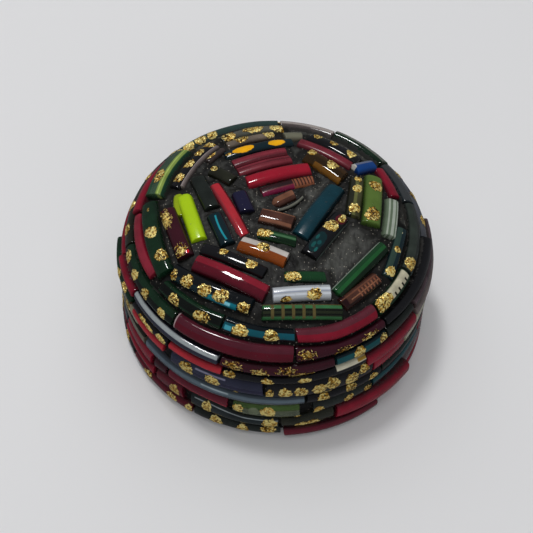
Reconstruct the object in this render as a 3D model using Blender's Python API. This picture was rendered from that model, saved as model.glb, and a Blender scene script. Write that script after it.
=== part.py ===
"""Round trinket box with a lift-off domed lid, covered with cut lengths of glass bangle set in dark lac.

The base is a hollow cup with an upstanding neck, and the lid is a hollow dome that sits over the neck.
Both are coated with lac, whose outer surface is called the bed here. The glass rods have a D section,
flat side down on the bed. Nine rows of curved rods run round the side and the shoulder, and the flat
top of the lid, called the field, holds shorter rods set in rough rings round its centre.
Metres, +Z up, origin in the middle of the underside.
"""
import math

import bmesh
import bpy
from mathutils import Matrix, Vector

# Sizes of the box
BED_RADIUS = 0.036
FOOT_SPREAD = 0.0008
LID_TOP_Z = 0.0378
SHOULDER_Z = 0.013
SEAM_Z = 0.0229
SEAM_GAP = 0.0003
FLOOR = 0.0035
BASE_WALL = 0.0046
FOOT_CHAMFER = 0.0008
NECK_WALL = 0.0016
NECK_HEIGHT = 0.0035
NECK_CLEARANCE = 0.0003
LID_WALL = 0.0035

# Sizes worked out from them
FOOT_RADIUS = BED_RADIUS + FOOT_SPREAD
BED_HEIGHT = LID_TOP_Z - SHOULDER_Z
CAVITY_RADIUS = BED_RADIUS - BASE_WALL
NECK_RADIUS = CAVITY_RADIUS + NECK_WALL
NECK_TOP_Z = SEAM_Z + NECK_HEIGHT
RECESS_RADIUS = NECK_RADIUS + NECK_CLEARANCE
RECESS_TOP_Z = NECK_TOP_Z + NECK_CLEARANCE
RIM_Z = SEAM_Z - SEAM_GAP

# Sizes of the glass and of its setting
SEAT_GAP = 0.0003
ROW_JOINT = 0.0004
ROW_RISE = 0.0022
ROD_JOINT = 0.0008
FOOT_MARGIN = 0.0004
FIELD_MARGIN = 0.0004
FIELD_BULGE = 0.0025

# Shares and counts that give the forms their character
FIELD_SHARE = 5.0 / 6.0
SHOULDER_POWER = 3.7
RISE_SHARE = 0.58
SECTION_SIDES = 5
SECTION_SQUARENESS = 0.7
JOINT_WIDTH_SHARE = 0.5
JOINT_RISE_SHARE = 0.4
ROW_STEP_DEG = 10.0
BODY_SIDES = 40
DOME_STEPS = 9
ROUTE_STEPS = 60
BOW_STEPS = 4
SEAT_STEPS = 16
SHARP_DEG = 50.0

# Points closer than this are one point
WELD = 0.000002

# The field takes its share of the bed. Its rods are placed on a grid, 30 steps from centre to edge
FIELD_RADIUS = BED_RADIUS * FIELD_SHARE
GRID = FIELD_RADIUS / 30.0

# Colours of the lac and the glass, as red, green and blue from 0 to 1, and a roughness
FINISHES = {
    "lac": ((0.035, 0.034, 0.032), 0.7),
    "black_glass": ((0.006, 0.006, 0.008), 0.12),
    "crimson_glass": ((0.28, 0.006, 0.018), 0.15),
    "maroon_glass": ((0.09, 0.006, 0.014), 0.15),
    "dark_green_glass": ((0.008, 0.035, 0.02), 0.12),
    "leaf_green_glass": ((0.10, 0.19, 0.035), 0.15),
    "lime_glass": ((0.42, 0.58, 0.01), 0.18),
    "olive_glass": ((0.06, 0.065, 0.025), 0.18),
    "teal_glass": ((0.004, 0.07, 0.09), 0.12),
    "navy_glass": ((0.018, 0.014, 0.06), 0.15),
    "cobalt_glass": ((0.01, 0.05, 0.30), 0.15),
    "white_glass": ((0.62, 0.63, 0.68), 0.2),
    "sage_glass": ((0.28, 0.36, 0.28), 0.2),
    "amber_glass": ((0.20, 0.09, 0.015), 0.12),
    "copper_glass": ((0.19, 0.075, 0.05), 0.15),
    "slate_glass": ((0.07, 0.085, 0.11), 0.15),
    "mauve_glass": ((0.13, 0.09, 0.095), 0.2),
}

# Rods of the field: name, where the crest starts and ends on the grid, width in grid steps, finish,
# and how far the middle bows sideways in grid steps, to the left of the way from start to end
FIELD_RODS = [
    ("lime_rod", (-22.6, 2.0), (-17.7, -10.9), 3.8, "lime_glass", 0.0),
    ("lime_curl", (-25.5, 2.4), (-24.9, -0.6), 1.0, "lime_glass", 0.0),
    ("teal_line_rod", (-14.9, -3.8), (-11.4, -11.8), 3.4, "teal_glass", 0.0),
    ("red_slim_rod", (-15.7, 6.0), (-7.5, -8.9), 3.0, "crimson_glass", 0.0),
    ("navy_stub", (-9.0, 3.0), (-6.9, -2.4), 3.2, "navy_glass", 0.0),
    ("maroon_glitter_rod", (-26.3, -1.8), (-20.9, -15.0), 3.5, "maroon_glass", 0.0),
    ("dark_green_left_rod", (-31.7, 1.6), (-25.7, -17.1), 3.8, "dark_green_glass", -0.5),
    ("gold_dab_front_rod", (-23.4, -19.2), (-5.2, -28.0), 3.6, "teal_glass", -0.7),
    ("maroon_front_rod", (-18.0, -17.0), (-1.9, -24.4), 4.1, "maroon_glass", 0.0),
    ("black_front_rod", (-17.0, -13.1), (-2.2, -19.4), 2.8, "black_glass", 0.0),
    ("white_orange_rod", (-7.8, -11.9), (2.6, -15.6), 4.0, "white_glass", 0.0),
    ("green_gold_stub", (-4.4, -8.3), (4.2, -10.0), 2.8, "dark_green_glass", 0.0),
    ("copper_rod", (-3.8, -3.4), (3.6, -5.0), 4.0, "copper_glass", 0.0),
    ("copper_chip", (-1.0, 0.5), (2.7, 3.4), 2.2, "copper_glass", 0.0),
    ("black_curl", (1.4, -0.6), (6.2, 2.2), 1.0, "black_glass", -0.8),
    ("crimson_ladder_rod", (-4.0, 3.9), (7.6, 8.3), 2.6, "crimson_glass", 0.0),
    ("bright_red_rod", (-7.6, 6.7), (6.2, 11.8), 3.6, "crimson_glass", 0.0),
    ("ribbed_crimson_low", (-9.9, 9.6), (1.6, 14.0), 2.4, "crimson_glass", 0.0),
    ("ribbed_crimson_high", (-11.0, 12.2), (0.4, 16.7), 2.4, "crimson_glass", 0.0),
    ("yellow_spot_rod", (-13.6, 14.7), (2.4, 20.9), 2.9, "teal_glass", 0.0),
    ("olive_stub", (-16.2, 10.7), (-11.9, 8.0), 3.2, "olive_glass", 0.0),
    ("charcoal_rod", (-19.7, 6.4), (-16.2, -2.2), 2.8, "black_glass", 0.0),
    ("black_dab_rod", (-25.2, 5.6), (-17.9, 21.0), 3.0, "black_glass", 0.0),
    ("mauve_strip", (-22.0, 6.8), (-15.4, 19.0), 1.2, "mauve_glass", 0.0),
    ("brown_dab_rod", (-17.3, 12.4), (-15.0, 16.7), 1.4, "amber_glass", 0.0),
    ("emerald_rod", (-30.4, 4.8), (-24.1, 18.8), 4.4, "leaf_green_glass", 0.5),
    ("back_dark_dab_rod", (-15.2, 22.4), (-0.6, 27.6), 3.0, "black_glass", 0.4),
    ("back_brown_rod", (-13.4, 19.0), (-2.4, 23.2), 2.4, "mauve_glass", 0.0),
    ("grey_green_stub", (0.3, 24.2), (4.6, 24.8), 2.8, "sage_glass", 0.0),
    ("dull_crimson_rod", (4.4, 21.8), (16.2, 14.6), 2.2, "crimson_glass", 0.0),
    ("amber_rod", (6.3, 16.5), (14.5, 10.5), 3.7, "amber_glass", 0.0),
    ("black_back_rod", (7.4, 24.4), (18.8, 17.5), 3.8, "black_glass", 0.0),
    ("cobalt_stub", (18.6, 13.6), (22.2, 16.5), 3.2, "cobalt_glass", 0.0),
    ("crimson_rim_rod", (24.6, 15.9), (27.9, 7.8), 2.2, "crimson_glass", 0.0),
    ("olive_dab_rod", (18.2, 10.6), (17.0, -1.6), 2.8, "olive_glass", 0.0),
    ("leaf_green_rod", (22.4, 12.2), (21.5, -3.4), 3.8, "leaf_green_glass", 0.0),
    ("sage_stripe_rod", (26.3, 5.9), (25.4, -5.4), 3.4, "sage_glass", 0.0),
    ("petrol_rod", (13.2, 6.6), (5.6, -8.0), 4.4, "teal_glass", 0.0),
    ("black_speckle_rod", (15.0, -1.8), (8.0, -13.6), 4.2, "black_glass", 0.0),
    ("long_green_rod", (24.3, -9.2), (13.9, -22.8), 2.8, "dark_green_glass", 0.0),
    ("green_dab_stub", (2.2, -19.9), (11.2, -19.0), 2.4, "dark_green_glass", 0.0),
    ("white_rod", (0.4, -24.5), (12.3, -22.6), 3.3, "white_glass", 0.0),
    ("ladder_green_rod", (-3.2, -28.4), (14.8, -26.2), 2.5, "dark_green_glass", 0.0),
    ("copper_ladder_rod", (16.6, -24.6), (23.2, -17.6), 2.8, "copper_glass", 0.0),
    ("dark_teal_rod", (29.0, -3.5), (25.9, -15.6), 2.7, "teal_glass", 0.0),
]

# Rows of the lid from the seam upwards, then of the base from the foot upwards: name, width as a
# share of its stack, finish, and the rods as (start angle, end angle, lift at start, lift at end).
# Angles are degrees from +X towards +Y, and a lift is how far that end stands off its seat, in metres.
LID_ROWS = [
    ("lid_lowest_row", 3.5, "black_glass", [
        (-180, -150, 0, 0), (-150, -128, 0, 0), (-128, -106, 0, 0), (-106, -54, 0, 0),
        (-54, -27, 0, 0.0003), (-27, 12, 0, 0), (12, 55, 0, 0), (55, 98, 0, 0), (98, 140, 0, 0),
        (140, 180, 0, 0)]),
    ("lid_lower_row", 3.7, "slate_glass", [
        (-168, -150, 0, 0), (-150, -107.5, 0, 0.0003), (-107.5, -66.5, 0, 0), (-66.5, -44.5, 0, 0),
        (-44.5, -28, 0, 0), (-28, 14, 0, 0), (14, 60, 0, 0), (60, 104, 0, 0), (104, 148, 0, 0),
        (148, 192, 0, 0)]),
    ("lid_upper_row", 3.6, "maroon_glass", [
        (-168, -128, 0, 0), (-128, -81, 0, 0), (-81, -44, 0, 0), (-44, 0, 0, 0.0006), (0, 42, 0, 0),
        (42, 84, 0, 0), (84, 128, 0, 0), (128, 192, 0, 0)]),
    ("lid_rim_row", 3.9, "teal_glass", [
        (-180, -144, 0, 0), (-144, -109.5, 0, 0), (-109.5, -80.5, 0, 0), (-80.5, -45.3, 0, 0),
        (-45.3, -22.4, 0, 0), (-22.4, 14, 0, 0), (14, 38, 0, 0), (38, 66, 0.0003, 0.0004),
        (66, 92, 0, 0), (92, 148, 0, 0), (148, 180, 0, 0.0008)]),
]
BASE_ROWS = [
    ("base_foot_row", 3.6, "maroon_glass", [
        (-150, -117, 0, 0), (-117, -84, 0, 0), (-84, -49, 0.0008, 0.0011), (-49, -10, 0, 0),
        (-10, 34, 0, 0), (34, 78, 0, 0), (78, 122, 0, 0), (122, 166, 0, 0), (166, 210, 0, 0)]),
    ("base_lower_row", 5.4, "crimson_glass", [
        (-160, -121, 0, 0), (-121, -85, 0, 0), (-85, -65, 0, 0), (-65, -34, 0.0005, 0.0014),
        (-34, 10, 0, 0), (10, 54, 0, 0), (54, 100, 0, 0), (100, 146, 0, 0), (146, 200, 0, 0)]),
    ("base_middle_row", 4.5, "olive_glass", [
        (-157, -136, 0, 0), (-136, -103, 0, 0), (-103, -77, 0, 0), (-77, -50, 0, 0),
        (-50, -20, 0, 0), (-20, 26, 0, 0), (26, 70, 0, 0), (70, 114, 0, 0), (114, 158, 0, 0),
        (158, 203, 0, 0)]),
    ("base_upper_row", 3.7, "slate_glass", [
        (-141, -76.5, 0, 0), (-76.5, -46, 0, 0), (-46, -12, 0, 0), (-12, 34, 0, 0), (34, 80, 0, 0),
        (80, 126, 0, 0), (126, 172, 0, 0), (172, 219, 0, 0)]),
    ("base_top_row", 5.2, "navy_glass", [
        (-176, -146, 0, 0), (-146, -128, 0, 0), (-128, -91, 0, 0), (-91, -51, 0, 0),
        (-51, -34, 0, 0), (-34, -2, 0, 0), (-2, 44, 0, 0), (44, 92, 0, 0), (92, 138, 0, 0),
        (138, 184, 0, 0)]),
]


def dome_radius(radius, height, z):
    """Radius of a dome of that radius and height above the shoulder, at height z."""
    share = min(max((z - SHOULDER_Z) / height, 0.0), 1.0)
    return radius * (1.0 - share ** SHOULDER_POWER) ** (1.0 / SHOULDER_POWER)


def dome_height(radius, height, r):
    """Height of the same dome at distance r from the axis."""
    share = min(r / radius, 1.0)
    return SHOULDER_Z + height * (1.0 - share ** SHOULDER_POWER) ** (1.0 / SHOULDER_POWER)


def dome_profile(radius, height, low_z):
    """Points (r, z) of the dome from its crown, without the point on the axis, down to height low_z."""
    low_share = (low_z - SHOULDER_Z) / height
    low_angle = math.asin(low_share ** (SHOULDER_POWER / 2.0))
    points = []
    for step in range(1, DOME_STEPS + 1):
        angle = math.pi / 2.0 + (low_angle - math.pi / 2.0) * step / DOME_STEPS
        r = radius * math.cos(angle) ** (2.0 / SHOULDER_POWER)
        z = SHOULDER_Z + height * math.sin(angle) ** (2.0 / SHOULDER_POWER)
        points.append((r, z))
    return points


def bed_radius(z):
    """Distance of the bed from the axis at height z. Below the shoulder it spreads to the foot."""
    spread = (FOOT_RADIUS - BED_RADIUS) * max(0.0, 1.0 - z / SHOULDER_Z)
    return dome_radius(BED_RADIUS, BED_HEIGHT, z) + spread


def bed_normal(r, z):
    """Outward direction (r, z) of the lac's surface at a point of it."""
    if z <= SHOULDER_Z:
        return Vector((SHOULDER_Z, FOOT_RADIUS - BED_RADIUS)).normalized()
    power = SHOULDER_POWER - 1.0
    out = (r / BED_RADIUS) ** power / BED_RADIUS
    up = ((z - SHOULDER_Z) / BED_HEIGHT) ** power / BED_HEIGHT
    return Vector((out, up)).normalized()


def bed_route(low_z, top_radius):
    """Points (r, z) along the bed from height low_z up to where its radius is top_radius."""
    top_z = dome_height(BED_RADIUS, BED_HEIGHT, top_radius)
    points = []
    for step in range(ROUTE_STEPS + 1):
        z = low_z + (top_z - low_z) * math.sin(step / ROUTE_STEPS * math.pi / 2.0)
        points.append((bed_radius(z), z))
    return points


def route_lengths(points):
    """Distance along the route to each of its points."""
    lengths = [0.0]
    for (r0, z0), (r1, z1) in zip(points, points[1:]):
        lengths.append(lengths[-1] + math.hypot(r1 - r0, z1 - z0))
    return lengths


def route_point(points, lengths, distance):
    """Point (r, z) at that distance along the route."""
    for index in range(1, len(points)):
        if distance <= lengths[index] or index == len(points) - 1:
            span = lengths[index] - lengths[index - 1]
            share = (distance - lengths[index - 1]) / span
            (r0, z0), (r1, z1) = points[index - 1], points[index]
            return r0 + (r1 - r0) * share, z0 + (z1 - z0) * share
    return points[0]


def d_section(width, rise):
    """Points (side, up) of a rod's D section, from one foot over the crest to the other."""
    points = []
    for step in range(SECTION_SIDES + 1):
        angle = math.pi * step / SECTION_SIDES
        side = -math.copysign(abs(math.cos(angle)) ** SECTION_SQUARENESS, math.cos(angle))
        up = math.sin(angle) ** SECTION_SQUARENESS if 0 < step < SECTION_SIDES else 0.0
        points.append((side * width / 2.0, up * rise))
    return points


def make_material(name):
    """Plain material of one finish."""
    colour, roughness = FINISHES[name]
    material = bpy.data.materials.new(name)
    material.use_nodes = True
    shader = material.node_tree.nodes["Principled BSDF"]
    shader.inputs["Base Color"].default_value = (*colour, 1.0)
    shader.inputs["Roughness"].default_value = roughness
    shader.inputs["Metallic"].default_value = 0.0
    return material


def make_group(name, height):
    """Empty on the axis of the box that carries the objects of one of its halves."""
    group = bpy.data.objects.new(name, None)
    group.location = (0.0, 0.0, height)
    bpy.context.scene.collection.objects.link(group)
    return group


def finish_object(name, work, material, group, place=None):
    """Object from a closed bmesh, faces turned outwards, put in its place in the frame of the box."""
    bmesh.ops.recalc_face_normals(work, faces=work.faces)
    mesh = bpy.data.meshes.new(name)
    work.to_mesh(mesh)
    work.free()
    mesh.shade_smooth()
    mesh.set_sharp_from_angle(angle=math.radians(SHARP_DEG))
    mesh.materials.append(material)
    made = bpy.data.objects.new(name, mesh)
    bpy.context.scene.collection.objects.link(made)
    made.parent = group
    made.matrix_parent_inverse = Matrix.Translation(group.location).inverted()
    made.matrix_basis = place or Matrix()
    return made


def turned(name, profile, material, group):
    """Solid turned round the Z axis from a profile whose first and last points lie on the axis."""
    work = bmesh.new()
    verts = [work.verts.new((r, 0.0, z)) for r, z in profile]
    edges = [work.edges.new(pair) for pair in zip(verts, verts[1:])]
    bmesh.ops.spin(
        work, geom=verts + edges, cent=(0, 0, 0), axis=(0, 0, 1), dvec=(0, 0, 0),
        angle=math.tau, steps=BODY_SIDES, use_merge=False, use_duplicate=False)
    bmesh.ops.remove_doubles(work, verts=work.verts, dist=WELD)
    return finish_object(name, work, material, group)


def base_profile():
    """Profile of the base: floor, wall with its lac, shoulder for the lid and upstanding neck."""
    middle_z = (SHOULDER_Z + RIM_Z) / 2.0
    return [
        (0.0, 0.0),
        (bed_radius(0.0) - FOOT_CHAMFER, 0.0),
        (bed_radius(FOOT_CHAMFER), FOOT_CHAMFER),
        (bed_radius(SHOULDER_Z), SHOULDER_Z),
        (bed_radius(middle_z), middle_z),
        (bed_radius(RIM_Z), RIM_Z),
        (NECK_RADIUS, RIM_Z),
        (NECK_RADIUS, NECK_TOP_Z),
        (CAVITY_RADIUS, NECK_TOP_Z),
        (CAVITY_RADIUS, FLOOR),
        (0.0, FLOOR),
    ]


def lid_profile():
    """Profile of the lid: domed outside, hollow inside, with a recess that drops over the neck."""
    outside = dome_profile(BED_RADIUS, BED_HEIGHT, SEAM_Z)
    inside = dome_profile(BED_RADIUS - LID_WALL, BED_HEIGHT - LID_WALL, RECESS_TOP_Z)
    recess = [(RECESS_RADIUS, SEAM_Z), (RECESS_RADIUS, RECESS_TOP_Z)]
    return [(0.0, LID_TOP_Z)] + outside + recess + inside[::-1] + [(0.0, LID_TOP_Z - LID_WALL)]


def field_height(x, y):
    """Height of the lac's surface over a point of the plan."""
    return dome_height(BED_RADIUS, BED_HEIGHT, math.hypot(x, y))


def field_normal(x, y):
    """Outward direction of the lac's surface over a point of the plan."""
    r = max(math.hypot(x, y), WELD)
    out = bed_normal(r, field_height(x, y))
    return Vector((out.x * x / r, out.x * y / r, out.y))


def rod_place(start, end, rise):
    """Place of a rod on the bed, and its length: X runs along it and Z away from the bed.

    The crest of the rod stands over the line in plan from start to end.
    """
    middle = (start + end) / 2.0
    up = field_normal(middle.x, middle.y)
    inwards = Vector((up.x, up.y)) * rise
    feet = []
    for crest in (start, end):
        foot = crest - inwards
        feet.append(Vector((foot.x, foot.y, field_height(foot.x, foot.y))))
    along = (feet[1] - feet[0]).normalized()
    across = up.cross(along).normalized()
    turn = Matrix((along, across, along.cross(across))).transposed().to_4x4()
    return Matrix.Translation((feet[0] + feet[1]) / 2.0) @ turn, (feet[1] - feet[0]).length


def seat_lift(place, length, width, bow):
    """How far a rod rises so that no point of its flat side is nearer the bed than the seat gap."""
    up = place.to_3x3().col[2]
    lifts = []
    for step in range(SEAT_STEPS + 1):
        share = 2.0 * step / SEAT_STEPS - 1.0
        for side in (-0.5, -0.25, 0.0, 0.25, 0.5):
            point = place @ Vector((share * length / 2.0, side * width + bow * (1.0 - share ** 2), 0.0))
            normal = field_normal(point.x, point.y)
            depth = (field_height(point.x, point.y) - point.z) * normal.z
            lifts.append(depth / up.dot(normal))
    return max(lifts) + SEAT_GAP


def field_rod(name, start, end, width, bow, material, group):
    """Rod of the field: its D section extruded along X and bowed, then laid flat side down on the bed."""
    width = width * GRID
    bow = bow * GRID
    rise = width * RISE_SHARE
    place, length = rod_place(Vector(start) * GRID, Vector(end) * GRID, rise)
    work = bmesh.new()
    outline = [work.verts.new((-length / 2.0, side, up)) for side, up in d_section(width, rise)]
    grown = bmesh.ops.extrude_face_region(work, geom=[work.faces.new(outline)])["geom"]
    far_end = [item for item in grown if isinstance(item, bmesh.types.BMVert)]
    bmesh.ops.translate(work, verts=far_end, vec=(length, 0.0, 0.0))
    if bow:
        lengthwise = [edge for edge in work.edges if edge.calc_length() > length - WELD]
        bmesh.ops.subdivide_edges(work, edges=lengthwise, cuts=BOW_STEPS - 1)
        for vert in work.verts:
            vert.co.y += bow * (1.0 - (2.0 * vert.co.x / length) ** 2)
    lift = Matrix.Translation((0.0, 0.0, seat_lift(place, length, width, bow)))
    return finish_object(name, work, material, group, place @ lift)


def row_stations(rods):
    """Stations round a row as (angle, lift). At a joint between two rods the lift is None."""
    half_joint = math.degrees(ROD_JOINT / 2.0 / BED_RADIUS)
    stations = []
    for start, end, start_lift, end_lift in rods:
        first = start + half_joint
        sweep = end - start - 2.0 * half_joint
        steps = max(1, round(sweep / ROW_STEP_DEG))
        stations.append((start, None))
        for step in range(steps + 1):
            share = step / steps
            stations.append((first + sweep * share, start_lift + (end_lift - start_lift) * share))
    return stations


def row_section(degrees, lift, edges_at):
    """Points of a row's D section at an angle, narrower and lower at a joint."""
    route, lengths, low, high = edges_at(degrees)
    seat = Vector(route_point(route, lengths, (low + high) / 2.0))
    normal = bed_normal(seat.x, seat.y)
    tangent = Vector((-normal.y, normal.x))
    if lift is None:
        section = d_section((high - low) * JOINT_WIDTH_SHARE, ROW_RISE * JOINT_RISE_SHARE)
    else:
        section = d_section(high - low, ROW_RISE)
    turn = Matrix.Rotation(math.radians(degrees), 3, "Z")
    points = []
    for side, up in section:
        raised = SEAT_GAP + up + (lift or 0.0) * (up > 0.0)
        flat = seat + tangent * side + normal * raised
        points.append(turn @ Vector((flat.x, 0.0, flat.y)))
    return points


def glass_row(name, rods, edges_at, material, group):
    """Ring of curved rods set end to end. edges_at gives the row's route, lengths and edges at an angle."""
    work = bmesh.new()
    loops = []
    for degrees, lift in row_stations(rods):
        verts = [work.verts.new(point) for point in row_section(degrees, lift, edges_at)]
        loops.append([work.edges.new(pair) for pair in zip(verts, verts[1:] + verts[:1])])
    for loop, following in zip(loops, loops[1:] + loops[:1]):
        bmesh.ops.bridge_loops(work, edges=loop + following)
    return finish_object(name, work, material, group)


def row_edges(route, low_share, high_share):
    """Route of a row, its lengths, and how far along it the row's two edges lie."""
    lengths = route_lengths(route)
    low = lengths[-1] * low_share + ROW_JOINT / 2.0
    high = lengths[-1] * high_share - ROW_JOINT / 2.0
    return route, lengths, low, high


def lid_edges(low_share, high_share):
    """Edges of a lid row, whose stack reaches lower on the left, where the field bulges."""
    def edges_at(degrees):
        bulge = max(0.0, -math.cos(math.radians(degrees))) ** 2
        route = bed_route(SEAM_Z, FIELD_RADIUS + FIELD_MARGIN + FIELD_BULGE * bulge)
        return row_edges(route, low_share, high_share)
    return edges_at


def base_edges(low_share, high_share):
    """Edges of a base row, on the upright side between the foot and the seam."""
    heights = (FOOT_MARGIN, SHOULDER_Z, (SHOULDER_Z + RIM_Z) / 2.0, RIM_Z)
    route = [(bed_radius(z), z) for z in heights]
    return lambda degrees: row_edges(route, low_share, high_share)


def build_rows(rows, edges, materials, group):
    """All rows of one stack, from the bottom up, each as wide as its share of the stack."""
    total = sum(share for _, share, _, _ in rows)
    low = 0.0
    for name, share, finish, rods in rows:
        high = low + share / total
        glass_row(name, rods, edges(low, high), materials[finish], group)
        low = high


def build_box():
    """The base, the lid and all of their glass."""
    materials = {name: make_material(name) for name in FINISHES}
    base = make_group("base", 0.0)
    turned("base_body", base_profile(), materials["lac"], base)
    build_rows(BASE_ROWS, base_edges, materials, base)
    lid = make_group("lid", SEAM_Z)
    turned("lid_body", lid_profile(), materials["lac"], lid)
    build_rows(LID_ROWS, lid_edges, materials, lid)
    for name, start, end, width, finish, bow in FIELD_RODS:
        field_rod(name, start, end, width, bow, materials[finish], lid)


for old in list(bpy.data.objects):
    bpy.data.objects.remove(old)
build_box()
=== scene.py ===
"""Looks of a round trinket box clad in cut lengths of coloured glass bangle, set in dark lac.

The rods have a D section. Short ones lie in rough rings on top of the lid, which is called the field, and
curved ones run round the side in rows. Many carry dabs of gold leaf. Metres, +Z up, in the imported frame.
"""
from __future__ import annotations

import logging
import math
import zlib
from dataclasses import dataclass, field
from enum import Enum
from typing import Any, Callable

import bpy
import numpy as np
from mathutils import Matrix, Vector, noise

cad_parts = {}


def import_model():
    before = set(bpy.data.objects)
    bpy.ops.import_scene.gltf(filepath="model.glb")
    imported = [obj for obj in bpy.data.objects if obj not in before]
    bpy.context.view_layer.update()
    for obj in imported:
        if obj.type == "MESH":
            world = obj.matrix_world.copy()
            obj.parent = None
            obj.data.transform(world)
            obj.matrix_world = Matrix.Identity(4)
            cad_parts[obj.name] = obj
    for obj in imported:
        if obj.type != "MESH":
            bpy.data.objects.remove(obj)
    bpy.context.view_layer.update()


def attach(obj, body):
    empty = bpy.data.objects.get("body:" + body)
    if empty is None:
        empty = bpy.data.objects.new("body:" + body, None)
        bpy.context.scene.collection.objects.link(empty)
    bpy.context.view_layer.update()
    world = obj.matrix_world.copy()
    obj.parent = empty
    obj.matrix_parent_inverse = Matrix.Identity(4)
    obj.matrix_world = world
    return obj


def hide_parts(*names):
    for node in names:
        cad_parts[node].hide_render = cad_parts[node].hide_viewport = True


LOG = logging.getLogger("trinket_box")
MM = 0.001
Lay = Callable[[np.ndarray], np.ndarray]


def linear(code: str) -> tuple[float, float, float, float]:
    """Turns a colour as people write it into what a shader reads.

    Args:
        code: sRGB colour as #RRGGBB.

    Returns:
        Linear red, green, blue and an alpha of 1.
    """
    parts = [int(code[index:index + 2], 16) / 255.0 for index in (1, 3, 5)]
    bright = [c / 12.92 if c <= 0.04045 else ((c + 0.055) / 1.055) ** 2.4 for c in parts]
    return bright[0], bright[1], bright[2], 1.0


def dice(name: str) -> np.random.Generator:
    """Random numbers that are the same each run for the piece of that name."""
    return np.random.default_rng(zlib.crc32(name.encode()))


def add_node(tree: bpy.types.NodeTree, kind: str, inputs: dict[Any, Any] | None = None,
             **settings: Any) -> Any:
    """Adds a node with its settings and links.

    Args:
        tree: node tree that gets the node.
        kind: Blender's name for the node.
        inputs: for an input's name or number, the socket that feeds it or its plain value.
        settings: the node's own properties.

    Returns:
        The new node.
    """
    node = tree.nodes.new(kind)
    for key, value in settings.items():
        setattr(node, key, value)
    for key, value in (inputs or {}).items():
        if isinstance(value, bpy.types.NodeSocket):
            tree.links.new(value, node.inputs[key])
        else:
            node.inputs[key].default_value = value
    return node


def blank_material(name: str) -> bpy.types.Material:
    """Starts a material that has no nodes yet.

    Args:
        name: name of the material.

    Returns:
        The material.
    """
    material = bpy.data.materials.new(name)
    material.use_nodes = True
    material.node_tree.nodes.clear()
    return material


def clear_selection() -> None:
    """Goes to object mode and leaves nothing selected."""
    if bpy.context.object and bpy.context.object.mode != "OBJECT":
        bpy.ops.object.mode_set(mode="OBJECT")
    bpy.ops.object.select_all(action="DESELECT")


def pick(piece: bpy.types.Object) -> None:
    """Selects one piece alone and makes it the active one.

    Args:
        piece: the piece.
    """
    clear_selection()
    bpy.context.view_layer.objects.active = piece
    piece.select_set(True)


def edit_some(piece: bpy.types.Object, kind: str, wanted: Callable[[Any], bool]) -> None:
    """Goes into edit mode on a piece with only those faces or edges selected that the test wants.

    Args:
        piece: the active object.
        kind: FACE or EDGE.
        wanted: test of one of the mesh's polygons or edges.
    """
    bpy.ops.object.mode_set(mode="EDIT")
    bpy.ops.mesh.select_mode(type=kind)
    bpy.ops.mesh.select_all(action="DESELECT")
    bpy.ops.object.mode_set(mode="OBJECT")
    for part in piece.data.polygons if kind == "FACE" else piece.data.edges:
        part.select = wanted(part)
    bpy.ops.object.mode_set(mode="EDIT")


def read_points(piece: bpy.types.Object) -> np.ndarray:
    """Reads the places of a mesh's vertices.

    Args:
        piece: the object of the mesh.

    Returns:
        The places, one row each.
    """
    flat = np.empty(len(piece.data.vertices) * 3, np.float32)
    piece.data.vertices.foreach_get("co", flat)
    return flat.reshape(-1, 3).astype(float)


def write_points(piece: bpy.types.Object, points: np.ndarray) -> None:
    """Moves a mesh's vertices to these places."""
    piece.data.vertices.foreach_set("co", points.astype(np.float32).ravel())
    piece.data.update()


def hand_in(piece: bpy.types.Object, slot: str, *nodes: str) -> None:
    """Rides a finished piece on the box, hides the CAD nodes that it replaces and logs its slot.

    Args:
        piece: the finished piece.
        slot: the record's material slot, which is only logged.
        nodes: the CAD nodes that it replaces.
    """
    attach(piece, "root")
    if nodes:
        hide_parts(*nodes)
    LOG.info("%s: %d faces, %s", piece.name, len(piece.data.polygons), slot)


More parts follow.
